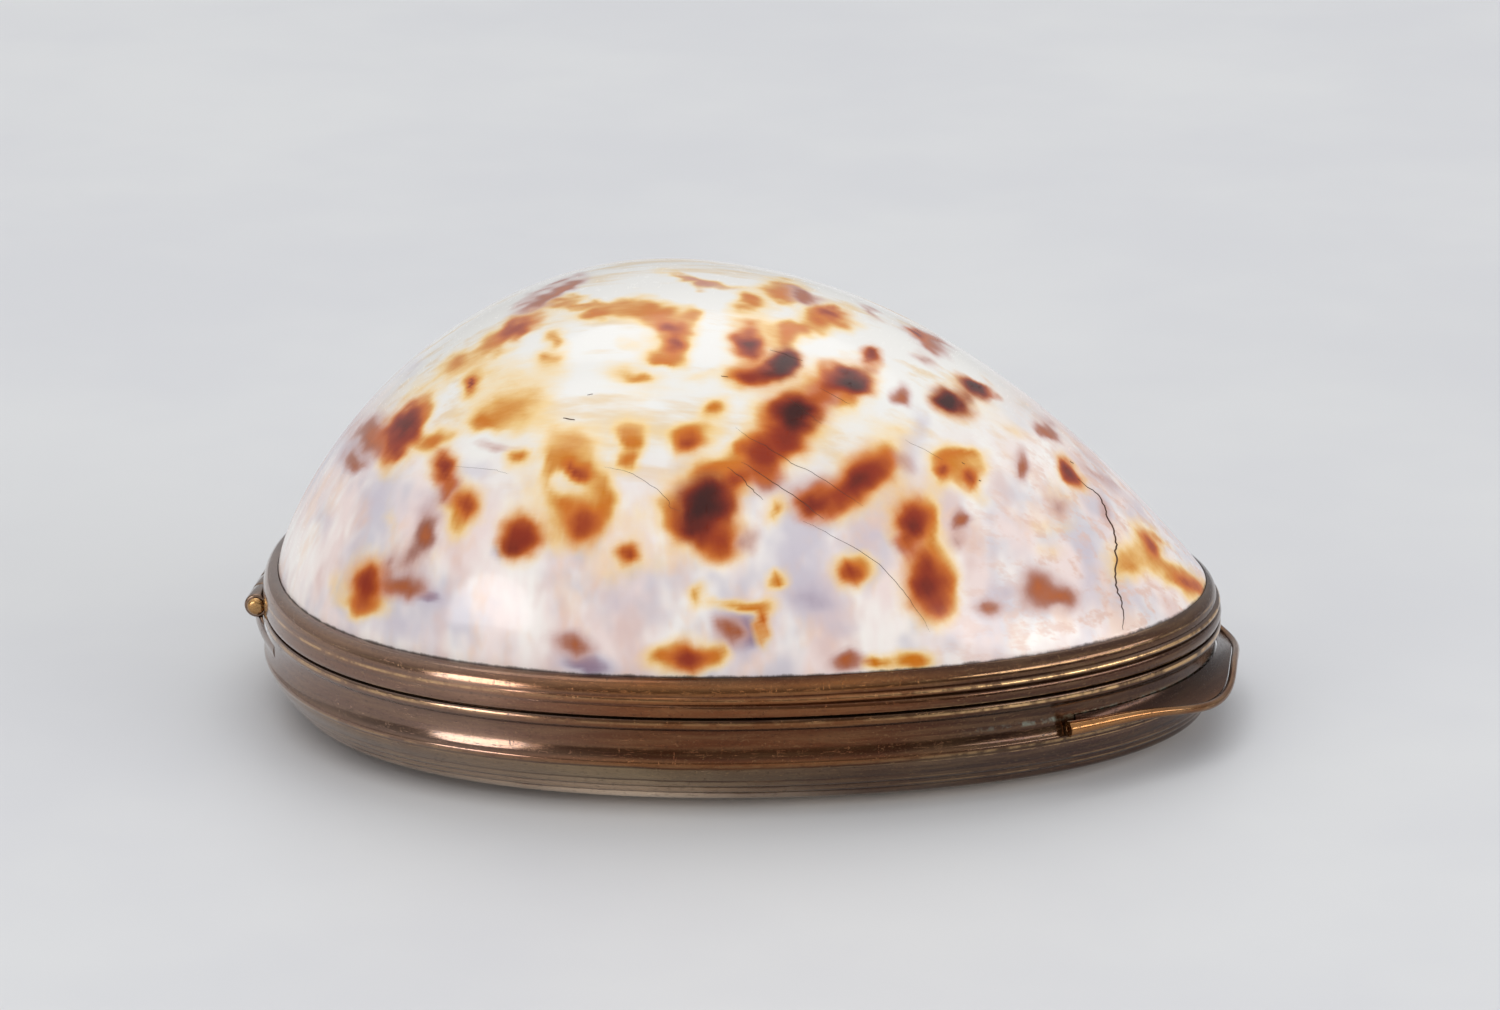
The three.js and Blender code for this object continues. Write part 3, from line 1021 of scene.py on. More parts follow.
@dataclass(frozen=True)
class Viewpoint:
    """Camera that matches the photograph, and the rays through its pixels.

    The picture's width and height are pixels and its clip is metres. Distance and target are
    millimetres, like the lens and the sensor.
    """

    width: int = 1500
    height: int = 1010
    lens: float = 133.4
    sensor: float = 36.0
    azimuth: float = 7.5
    elevation: float = 19.2
    distance: float = 450.0
    target: tuple[float, float, float] = (0.73, 0.0, 16.33)
    clip: Range = (0.01, 20.0)

    @property
    def back(self) -> Vector:
        """Direction from the object to the camera."""
        return direction(self.azimuth, self.elevation)

    @property
    def right(self) -> Vector:
        """Direction to the picture's right."""
        turn = math.radians(self.azimuth)
        return Vector((math.cos(turn), math.sin(turn), 0))

    @property
    def up(self) -> Vector:
        """Direction to the picture's top."""
        return self.back.cross(self.right)

    @property
    def place(self) -> Vector:
        """Where the camera stands, in millimetres."""
        return Vector(self.target) + self.back * self.distance

    @property
    def focal(self) -> float:
        """Focal length in pixels."""
        return self.lens / self.sensor * self.width

    def ray(self, x: float, y: float) -> Vector:
        """Direction of the ray through a pixel of the photograph.

        Args:
            x: Pixels from the photograph's left.
            y: Pixels from its top.

        Returns:
            The direction away from the camera.
        """
        across = self.right * ((x - self.width / 2) / self.focal)
        upwards = self.up * ((self.height / 2 - y) / self.focal)
        return (across + upwards - self.back).normalized()

    def pixel(self, point: Vector) -> Vector:
        """Pixel of the photograph at which a point shows.

        Args:
            point: The point in millimetres.

        Returns:
            Its place across and down the photograph.
        """
        seen = point - self.place
        depth = -seen.dot(self.back)
        return Vector((
            self.width / 2 + self.focal * seen.dot(self.right) / depth,
            self.height / 2 - self.focal * seen.dot(self.up) / depth,
        ))

    def set_up(self) -> None:
        """Puts the camera into the scene."""
        data = bpy.data.cameras.new("photograph_view")
        data.lens = self.lens
        data.sensor_width = self.sensor
        data.clip_start, data.clip_end = self.clip
        camera = bpy.data.objects.new("photograph_view", data)
        turn = Matrix((self.right, self.up, self.back)).transposed().to_4x4()
        camera.matrix_world = Matrix.Translation(self.place * MM) @ turn
        bpy.context.scene.collection.objects.link(camera)
        bpy.context.scene.camera = camera


# Colours in the shell


@dataclass(frozen=True)
class Wash:
    """One ink of a spot: its size as a share of the spot, and its strength."""

    ink: Ink
    size: float
    strength: float


class SpotKind(Enum):
    """Recipes of the spots, from the deepest to the palest."""

    DARK = (Wash(Ink.GOLD, 1.25, 0.75), Wash(Ink.RUST, 1.08, 1.0), Wash(Ink.CORE, 0.95, 1.0))
    UMBER = (Wash(Ink.GOLD, 1.15, 0.5), Wash(Ink.RUST, 1.05, 0.9), Wash(Ink.CORE, 0.85, 0.55))
    RED = (Wash(Ink.GOLD, 1.3, 0.8), Wash(Ink.RUST, 1.0, 1.0), Wash(Ink.CORE, 0.6, 0.3))
    RUSSET = (Wash(Ink.GOLD, 1.3, 0.9), Wash(Ink.RUST, 1.0, 0.85))
    BROWN = (Wash(Ink.VIOLET, 1.2, 0.4), Wash(Ink.MAUVE, 1.0, 0.95), Wash(Ink.RUST, 0.8, 0.35))
    FADED = (Wash(Ink.MAUVE, 1.0, 0.55),)
    AMBER = (Wash(Ink.GOLD, 1.15, 1.0), Wash(Ink.RUST, 0.75, 0.32))
    GOLD = (Wash(Ink.GOLD, 1.0, 0.8),)
    STRAW = (Wash(Ink.GOLD, 1.0, 0.3),)
    VIOLET = (Wash(Ink.VIOLET, 1.0, 0.95),)
    LILAC = (Wash(Ink.VIOLET, 1.0, 0.4),)


@dataclass(frozen=True)
class Spot:
    """Spot of the shell, at its pixel of the photograph.

    Its half sizes are pixels. Its tilt is in degrees, clockwise as seen.
    """

    kind: SpotKind
    x: float
    y: float
    across: float
    down: float
    tilt: float = 0.0


DARK, UMBER, RED, RUSSET, BROWN, FADED, AMBER, GOLD, STRAW, VIOLET, LILAC = SpotKind

SIDE_KINDS = (
    DARK, RED, RED, RUSSET, RUSSET, BROWN, BROWN, UMBER, FADED, AMBER, GOLD, VIOLET, LILAC, LILAC,
    STRAW,
)
CROWN_KINDS = (AMBER, GOLD, GOLD, STRAW, STRAW)


def spots(kind: SpotKind, *places: tuple[float, ...]) -> tuple[Spot, ...]:
    """Spots of one kind, each with its pixel, half sizes and tilt in the order that Spot has."""
    return tuple(Spot(kind, *place) for place in places)


FRONT_SPOTS: tuple[Spot, ...] = (
    # Hinge end
    *spots(UMBER, (474, 381, 4, 7, 20), (408, 424, 11, 22, 28), (514, 546, 12, 12)),
    *spots(RED, (402, 432, 14, 24, 28), (442, 468, 12, 16), (523, 536, 17, 19),
           (369, 583, 17, 23)),
    *spots(RUSSET, (518, 330, 27, 9, -32), (394, 454, 8, 16, 20), (464, 502, 14, 15)),
    *spots(BROWN, (540, 299, 34, 9, -30), (374, 436, 26, 20, 15), (352, 462, 12, 10),
           (446, 486, 9, 16, 15), (424, 536, 9, 20, 8), (404, 588, 26, 14, 8)),
    *spots(FADED, (495, 446, 18, 5), (424, 530, 17, 34, 8), (410, 558, 13, 18, 10),
           (389, 562, 8, 15)),
    *spots(AMBER, (473, 382, 9, 13, 20), (486, 424, 14, 7), (421, 414, 9, 19, 18),
           (437, 440, 20, 8, -14), (514, 458, 10, 11), (365, 604, 16, 10)),
    *spots(GOLD, (492, 343, 22, 10, -38), (458, 360, 20, 9, -45), (504, 412, 38, 19, -5),
           (557, 340, 10, 14), (455, 520, 11, 20), (548, 470, 9, 24)),
    *spots(STRAW, (540, 400, 20, 14), (448, 372, 24, 12, -35), (520, 385, 30, 22),
           (334, 590, 8, 24), (412, 386, 16, 10, -50), (390, 520, 8, 26), (436, 560, 8, 24),
           (500, 372, 36, 20, -10)),
    *spots(VIOLET, (503, 548, 12, 12), (430, 596, 16, 10)),
    *spots(LILAC, (352, 452, 18, 20, 20), (426, 508, 14, 20, 10), (347, 558, 12, 22),
           (322, 520, 10, 28, 15), (400, 626, 42, 14, 10), (380, 500, 22, 30, 20),
           (470, 470, 26, 12), (410, 368, 22, 7, -45)),
    # Crest
    *spots(RUSSET, (668, 326, 18, 8, 8), (672, 344, 8, 8), (831, 317, 18, 8, 10)),
    *spots(BROWN, (566, 287, 20, 5, -18), (804, 297, 19, 7, 20)),
    *spots(FADED, (703, 283, 34, 4, 13)),
    *spots(AMBER, (600, 314, 24, 7, -3), (655, 310, 20, 8, 18), (674, 340, 15, 14),
           (664, 356, 18, 6, 12), (700, 282, 34, 4, 10), (748, 305, 17, 9, 8),
           (779, 294, 14, 7, 15), (800, 329, 26, 7, 3), (786, 334, 10, 9)),
    *spots(GOLD, (590, 303, 24, 4), (640, 311, 26, 11, 8), (690, 318, 14, 8, 20),
           (640, 376, 20, 5), (785, 290, 26, 11, 15), (822, 318, 22, 9, 8), (560, 302, 20, 5, -8),
           (545, 360, 10, 8)),
    *spots(STRAW, (612, 309, 40, 9), (628, 368, 30, 12), (650, 390, 44, 10), (702, 376, 22, 8),
           (616, 368, 20, 12), (630, 424, 18, 18), (555, 372, 18, 14), (760, 330, 22, 12),
           (630, 340, 18, 6)),
    # Middle
    *spots(DARK, (783, 360, 16, 15, 10), (798, 416, 19, 19, -35), (698, 506, 26, 28, -10)),
    *spots(UMBER, (752, 342, 8, 9), (769, 369, 10, 9, -12), (716, 508, 16, 16), (690, 532, 20, 14),
           (814, 504, 18, 14)),
    *spots(RED, (747, 340, 14, 15, 20), (753, 376, 19, 14, -12), (792, 423, 27, 22, -35),
           (787, 440, 16, 9), (763, 455, 22, 20, -35), (686, 658, 19, 16)),
    *spots(RUSSET, (690, 440, 14, 11), (578, 470, 12, 7, 20), (583, 524, 24, 22),
           (735, 482, 17, 11, -25), (722, 541, 20, 17, 25), (840, 497, 18, 16, -15),
           (630, 553, 10, 11), (762, 624, 8, 18)),
    *spots(BROWN, (766, 476, 20, 18, -20), (818, 498, 26, 24, -12), (728, 634, 16, 16),
           (575, 648, 24, 13, 20)),
    *spots(FADED, (748, 536, 16, 16, 25)),
    *spots(AMBER, (742, 380, 10, 9), (742, 448, 14, 9, -30), (713, 410, 14, 9), (630, 442, 9, 9),
           (628, 460, 11, 9), (572, 466, 20, 9, 15), (560, 506, 10, 10), (604, 502, 8, 14),
           (588, 508, 16, 12), (670, 520, 9, 22, -10), (716, 468, 28, 10, -8), (779, 581, 11, 10),
           (745, 605, 24, 7), (660, 656, 16, 9), (708, 655, 14, 10)),
    *spots(GOLD, (690, 432, 28, 12, -10), (628, 434, 15, 14), (568, 446, 32, 22),
           (600, 486, 15, 16, 25), (778, 512, 12, 15), (700, 595, 12, 15)),
    *spots(STRAW, (765, 418, 16, 14), (565, 430, 26, 14), (552, 520, 14, 28), (530, 490, 22, 22),
           (655, 565, 26, 14), (640, 520, 14, 24), (610, 578, 24, 16)),
    *spots(VIOLET, (746, 632, 24, 24, -20), (590, 666, 30, 10, 5)),
    *spots(LILAC, (772, 344, 26, 14, 15), (688, 464, 18, 16), (634, 572, 10, 14),
           (800, 560, 34, 46), (806, 606, 30, 14), (745, 500, 12, 16), (620, 600, 16, 18)),
    # Right of the middle
    *spots(DARK, (847, 380, 19, 13), (951, 402, 20, 12, 28), (975, 387, 20, 8, 32)),
    *spots(UMBER, (875, 354, 11, 12, 20), (918, 334, 12, 4, 27), (857, 482, 16, 18, 20),
           (1067, 470, 11, 7, 48)),
    *spots(RED, (840, 382, 25, 16), (866, 470, 23, 27, 30), (1071, 475, 16, 9, 48)),
    *spots(RUSSET, (947, 470, 9, 12), (971, 481, 9, 10)),
    *spots(BROWN, (820, 398, 20, 14, -40), (903, 397, 9, 12), (927, 339, 26, 7, 27),
           (988, 394, 14, 6, 34), (1018, 465, 8, 17, -14), (1048, 429, 17, 7, 42)),
    *spots(FADED, (926, 360, 14, 7, 25), (870, 312, 18, 4, 28), (1098, 474, 26, 6, 45),
           (1060, 505, 16, 8, 40)),
    *spots(AMBER, (822, 386, 8, 10), (884, 456, 14, 14), (960, 455, 16, 7)),
    *spots(GOLD, (838, 402, 14, 8), (960, 466, 24, 18)),
    *spots(STRAW, (900, 430, 30, 12, 20), (1010, 430, 26, 10, 35), (1060, 498, 22, 12, 40)),
    *spots(LILAC, (920, 428, 12, 22), (905, 462, 10, 12), (1106, 482, 20, 6, 45),
           (1140, 512, 26, 6, 50), (905, 455, 16, 16)),
    # Right, down to the collar
    *spots(UMBER, (910, 528, 12, 14), (924, 584, 17, 20)),
    *spots(RED, (913, 518, 18, 22), (926, 580, 23, 30)),
    *spots(RUSSET, (938, 602, 12, 14), (850, 574, 13, 12), (1149, 544, 20, 7, 50),
           (1188, 583, 13, 10, 40)),
    *spots(BROWN, (906, 546, 14, 14), (962, 522, 8, 10), (1038, 586, 18, 22, -15),
           (1060, 600, 20, 12, 10), (987, 610, 15, 10), (850, 662, 18, 11)),
    *spots(FADED, (960, 540, 8, 9), (1102, 512, 9, 17, -15), (900, 458, 16, 20, 20)),
    *spots(AMBER, (928, 512, 9, 18), (947, 580, 9, 26), (876, 664, 14, 7), (912, 657, 20, 8)),
    *spots(GOLD, (934, 540, 9, 20, -10), (856, 568, 14, 12), (1153, 556, 30, 12, 48),
           (1180, 580, 24, 10, 48), (1126, 562, 20, 20)),
    *spots(STRAW, (1052, 522, 24, 9), (985, 500, 14, 12), (1050, 545, 18, 12)),
    *spots(VIOLET, (930, 612, 14, 13)),
    *spots(LILAC, (1090, 548, 12, 14), (875, 535, 14, 12), (1000, 590, 20, 14),
           (1090, 580, 12, 20), (820, 600, 26, 20), (838, 628, 26, 12)),
)


@dataclass(frozen=True)
class Crack:
    """Crack of the shell, as the pixels of the photograph that it runs through.

    Its half width is in millimetres.
    """

    path: tuple[tuple[float, float], ...]
    half_width: float


CRACKS: tuple[Crack, ...] = (
    Crack((
        (1078, 479), (1086, 486), (1092, 490), (1099, 496), (1103, 503), (1106, 512), (1109, 520),
        (1113, 528), (1115, 537), (1116, 545), (1115, 551), (1117, 558), (1116, 566), (1115, 574),
        (1116, 583), (1117, 590), (1121, 598), (1122, 604), (1123, 613), (1123, 621), (1123, 630),
    ), 0.085),
    Crack(((735, 427), (750, 438), (766, 446), (778, 454), (792, 463), (812, 472), (830, 484),
           (846, 495), (863, 506)), 0.022),
    Crack(((727, 467), (741, 477), (748, 485), (755, 492), (763, 500)), 0.03),
    Crack(((742, 462), (756, 471), (772, 482), (788, 492), (800, 500), (812, 510),
           (824, 519)), 0.03),
    Crack(((803, 521), (818, 528), (838, 539), (858, 550), (879, 564), (893, 579), (903, 591),
           (912, 604), (922, 617), (930, 632)), 0.022),
    Crack(((604, 467), (622, 470), (633, 474), (646, 482), (660, 492), (669, 501), (671, 508),
           (680, 511)), 0.018),
    Crack(((770, 350), (784, 354), (803, 361)), 0.022),
    Crack(((788, 398), (806, 412), (822, 424)), 0.016),
    Crack(((905, 440), (925, 450), (943, 460)), 0.014),
    Crack(((450, 466), (475, 468), (495, 470), (508, 474)), 0.012),
    Crack(((820, 388), (838, 398), (850, 404)), 0.016),
    Crack(((564, 418), (569, 419), (575, 420)), 0.05),
    Crack(((587, 395), (593, 394)), 0.035),
    Crack(((721, 376), (728, 377)), 0.035),
    Crack(((1070, 461), (1073, 464)), 0.045),
    Crack(((979, 480), (981, 481)), 0.05),
    Crack(((961, 462), (965, 464)), 0.03),
)


@dataclass
class ShellInks:
    """Paints the inks of the shell onto its mesh, as vertex attributes.

    A ripple of the spots' edges is how often it turns in a millimetre, and how far in millimetres.
    """

    mesh: bmesh.types.BMesh
    view: Viewpoint
    dome: Dome
    seed: int = 7
    falloff: float = 0.98
    ripples: tuple[Range, ...] = ((0.28, 0.65), (0.9, 0.38))
    same_side: float = 0.2
    least_facing: float = 0.22
    seen_reach: float = 2.4
    hidden_spots: int = 210
    hidden_rise: float = 0.8
    hidden_facing: float = -0.02
    hidden_sizes: Range = (0.8, 2.3)
    hidden_reach: float = 3.4
    side_stretches: Range = (0.9, 1.35)
    crown_level: float = 0.86
    drawn_level: float = 0.8
    drawn_stretch: float = 1.7
    crack_steps: int = 3
    crack_jitter: float = 0.6
    crack_tip: float = 0.7
    crack_least: float = 0.3
    surface: BVHTree = field(init=False)
    near: KDTree = field(init=False)

    def __post_init__(self) -> None:
        """Fixes the noise, indexes the mesh and gives it one attribute for each ink."""
        noise.seed_set(self.seed)
        self.mesh.normal_update()
        self.mesh.verts.ensure_lookup_table()
        self.surface = BVHTree.FromBMesh(self.mesh)
        self.near = KDTree(len(self.mesh.verts))
        for vert in self.mesh.verts:
            self.near.insert(vert.co, vert.index)
        self.near.balance()
        for ink in Ink:
            self.mesh.verts.layers.float.new(ink.value)

    def hit(self, x: float, y: float) -> tuple[Vector, Vector] | None:
        """Place of the shell behind a pixel of the photograph.

        Args:
            x: Pixels from the photograph's left.
            y: Pixels from its top.

        Returns:
            The point and its normal, or nothing where the ray misses the shell.
        """
        point, normal, _, _ = self.surface.ray_cast(self.view.place, self.view.ray(x, y))
        return None if point is None else (point, normal)

    def wobble(self, point: Vector) -> Vector:
        """Sideways shift in millimetres that makes the spots' edges uneven."""
        shifts = (noise.noise_vector(point * turns) * size for turns, size in self.ripples)
        return sum(shifts, Vector())

    def add(self, vert: bmesh.types.BMVert, wash: Wash, distance: float) -> None:
        """Adds one wash to a vertex.

        Args:
            vert: The vertex.
            wash: The ink and its strength.
            distance: Distance from the wash's middle as a share of its size.
        """
        amount = wash.strength * math.exp(-self.falloff * distance * distance)
        layer = self.mesh.verts.layers.float[wash.ink.value]
        vert[layer] = 1 - (1 - vert[layer]) * (1 - amount)

    def lay(
        self, kind: SpotKind, centre: Vector, normal: Vector, reach: float,
        distance: Callable[[Vector], float],
    ) -> None:
        """Lays the washes of a spot on the vertices round its middle.

        Args:
            kind: Kind of the spot.
            centre: Its middle in millimetres.
            normal: The shell's normal there.
            reach: How far from the middle vertices are painted, in millimetres.
            distance: Gives a point's distance from the middle as a share of the spot's size.
        """
        for point, index, _ in self.near.find_range(centre, reach):
            vert = self.mesh.verts[index]
            if vert.normal.dot(normal) < self.same_side:
                continue
            share = distance(point + self.wobble(point))
            for wash in kind.value:
                self.add(vert, wash, share / wash.size)

    def paint_seen(self, spot: Spot) -> None:
        """Paints a spot of the side that the photograph shows.

        Args:
            spot: The spot.
        """
        found = self.hit(spot.x, spot.y)
        if found is None:
            log.warning("spot at %s, %s misses the shell", spot.x, spot.y)
            return
        centre, normal = found
        scale = (centre - self.view.place).length / self.view.focal
        facing = max(self.least_facing, abs(normal.dot(self.view.back)))
        reach = self.seen_reach * max(spot.across, spot.down) * scale / facing
        tilt = math.radians(spot.tilt)

        def distance(point: Vector) -> float:
            """Distance of a point from the spot's middle in the photograph.

            Args:
                point: The point, in millimetres.

            Returns:
                The distance, which is 1 at the spot's edge.
            """
            off = self.view.pixel(point) - Vector((spot.x, spot.y))
            across = off.x * math.cos(tilt) + off.y * math.sin(tilt)
            down = off.y * math.cos(tilt) - off.x * math.sin(tilt)
            return math.hypot(across / spot.across, down / spot.down)
        self.lay(spot.kind, centre, normal, reach, distance)

    def paint_hidden(self) -> None:
        """Scatters spots of the same kinds over the side that the photograph doesn't show."""
        chance = random.Random(self.seed)
        for _ in range(self.hidden_spots):
            level = chance.random() ** self.hidden_rise
            middle = self.dome.point(
                chance.uniform(0, FULL_TURN), self.dome.collar.shell_inset, self.dome.rise, level,
            )
            centre, normal, _, _ = self.surface.find_nearest(middle)
            towards = (self.view.place - centre).normalized()
            kind = chance.choice(CROWN_KINDS if level > self.crown_level else SIDE_KINDS)
            size = chance.uniform(*self.hidden_sizes)
            drawn = level > self.drawn_level
            stretch = self.drawn_stretch if drawn else chance.uniform(*self.side_stretches)
            if normal.dot(towards) > self.hidden_facing:
                continue

            def distance(point: Vector) -> float:
                """Distance of a point from the spot's middle on the shell."""
                off = point - centre
                return math.hypot(off.x / stretch, off.y, off.z) / size
            self.lay(kind, centre, normal, size * self.hidden_reach, distance)

    def crack_curve(self, name: str) -> bpy.types.Curve:
        """Cracks as fine sunk threads that lie in the surface.

        Args:
            name: Name of the curve.

        Returns:
            The curve in metres.
        """
        curve = bpy.data.curves.new(name, "CURVE")
        curve.dimensions = "3D"
        curve.bevel_depth = MM
        curve.bevel_resolution = 0
        chance = random.Random(self.seed)
        for crack in CRACKS:
            steps = [
                Vector(start).lerp(end, step / self.crack_steps)
                + Vector((chance.gauss(0, self.crack_jitter), 0))
                for start, end in zip(crack.path, crack.path[1:])
                for step in range(self.crack_steps)
            ]
            places = [found[0] for step in (*steps, crack.path[-1]) if (found := self.hit(*step))]
            spline = curve.splines.new("POLY")
            spline.points.add(len(places) - 1)
            length = len(places) - 1 + 2 * self.crack_tip
            for index, place in enumerate(places):
                taper = math.sqrt(math.sin(math.pi * (index + self.crack_tip) / length))
                spline.points[index].co = (*(place * MM), 1)
                spline.points[index].radius = crack.half_width * max(self.crack_least, taper)
        return curve


# Finishes


BRIGHT_BRASS = srgb(242, 204, 150)


@dataclass(frozen=True)
class Noise:
    """Noise on Object coordinates, and the smooth step that makes a mask of it."""

    scale: float
    edges: Range
    stretch: Stretch = (1, 1, 1)
    detail: float = 3
    roughness: float = 0.55
    least: float = 0.0
    most: float = 1.0


class Graph:
    """Node tree under construction."""

    def __init__(self, tree: bpy.types.NodeTree) -> None:
        """Takes the tree of a material, a group or the world."""
        self.tree = tree

    def node(self, kind: str, **settings: object) -> bpy.types.Node:
        """Makes a node.

        Args:
            kind: Its type in Blender.
            **settings: Attributes that are set on it.

        Returns:
            The node.
        """
        made = self.tree.nodes.new(kind)
        for name, value in settings.items():
            setattr(made, name, value)
        return made

    def feed(self, socket: Socket, value: Source) -> None:
        """Links a source into a socket, or sets the socket's value.

        Args:
            socket: The input.
            value: An output or a plain value.
        """
        if isinstance(value, bpy.types.NodeSocket):
            self.tree.links.new(value, socket)
        else:
            socket.default_value = value

    def maths(self, operation: str, *values: Source) -> Socket:
        """Result of a Math node.

        Args:
            operation: Its operation.
            *values: What goes into it.

        Returns:
            The result.
        """
        made = self.node("ShaderNodeMath", operation=operation)
        for socket, value in zip(made.inputs, values):
            self.feed(socket, value)
        return made.outputs[0]

    def blend(self, share: Source, low: Source, high: Source) -> Socket:
        """Colour between two colours.

        Args:
            share: Share of the second colour.
            low: The first colour.
            high: The second colour.

        Returns:
            The colour.
        """
        made = self.node("ShaderNodeMix", data_type="RGBA")
        for index, value in ((0, share), (6, low), (7, high)):
            self.feed(made.inputs[index], value)
        return made.outputs[2]

    def between(self, share: Source, low: Source, high: Source) -> Socket:
        """Value between two values.

        Args:
            share: Share of the second value.
            low: The first value.
            high: The second value.

        Returns:
            The value.
        """
        made = self.node("ShaderNodeMix", data_type="FLOAT")
        for index, value in ((0, share), (2, low), (3, high)):
            self.feed(made.inputs[index], value)
        return made.outputs[0]

    def step(self, value: Source, edges: Range, start: float = 0, end: float = 1) -> Socket:
        """Smooth step of a value.

        Args:
            value: The value.
            edges: Where the step starts and where it ends.
            start: What is given out before the step.
            end: What is given out after it.

        Returns:
            The stepped value.
        """
        made = self.node("ShaderNodeMapRange", interpolation_type="SMOOTHSTEP")
        for index, part in enumerate((value, *edges, start, end)):
            self.feed(made.inputs[index], part)
        return made.outputs[0]

    def object_place(self, stretch: Stretch = (1, 1, 1)) -> Socket:
        """Object coordinates.

        Args:
            stretch: Factor on each of them.

        Returns:
            The stretched coordinates.
        """
        place = self.node("ShaderNodeTexCoord").outputs["Object"]
        if stretch == (1, 1, 1):
            return place
        mapping = self.node("ShaderNodeMapping")
        mapping.inputs["Scale"].default_value = stretch
        self.feed(mapping.inputs["Vector"], place)
        return mapping.outputs[0]

    def grain(self, pattern: Noise, scale: Source | None = None) -> Socket:
        """Value of a noise.

        Args:
            pattern: The noise.
            scale: Stands in for its own scale.

        Returns:
            The value, 0 to 1.
        """
        made = self.node("ShaderNodeTexNoise")
        self.feed(made.inputs["Vector"], self.object_place(pattern.stretch))
        self.feed(made.inputs["Scale"], pattern.scale if scale is None else scale)
        made.inputs["Detail"].default_value = pattern.detail
        made.inputs["Roughness"].default_value = pattern.roughness
        return made.outputs[0]

    def mask(self, pattern: Noise, scale: Source | None = None) -> Socket:
        """Mask that a noise makes."""
        grain = self.grain(pattern, scale)
        return self.step(grain, pattern.edges, pattern.least, pattern.most)

    def axis(self, name: str) -> Socket:
        """Object coordinate in millimetres.

        Args:
            name: Z for the height above the table, X for the distance towards the thumb lip.

        Returns:
            The coordinate.
        """
        split = self.node("ShaderNodeSeparateXYZ")
        self.feed(split.inputs[0], self.object_place())
        return self.maths("MULTIPLY", split.outputs[name], 1 / MM)

    def bands(self, value: Source, stops: Sequence[tuple[float, Colour]]) -> Socket:
        """Colour that changes with a value.

        Args:
            value: The value.
            stops: Values in rising order, each with its colour.

        Returns:
            The colour.
        """
        low, high = stops[0][0], stops[-1][0]
        share = self.node("ShaderNodeMapRange")
        for index, part in enumerate((value, low, high)):
            self.feed(share.inputs[index], part)
        ramp = self.node("ShaderNodeValToRGB")
        elements = ramp.color_ramp.elements
        while len(elements) < len(stops):
            elements.new(0.5)
        for element, (level, colour) in zip(elements, stops):
            element.position = (level - low) / (high - low)
            element.color = colour
        self.feed(ramp.inputs[0], share.outputs[0])
        return ramp.outputs[0]

    def bump(self, shader: bpy.types.Node, height: Socket, strength: float, depth: float) -> None:
        """Gives a shader a normal that follows a height.

        Args:
            shader: The shader node.
            height: The height, 0 to 1.
            strength: Strength of the bump.
            depth: What a height of 1 stands for, in metres.
        """
        bump = self.node("ShaderNodeBump")
        bump.inputs["Strength"].default_value = strength
        bump.inputs["Distance"].default_value = depth
        self.feed(bump.inputs["Height"], height)
        self.feed(shader.inputs["Normal"], bump.outputs[0])


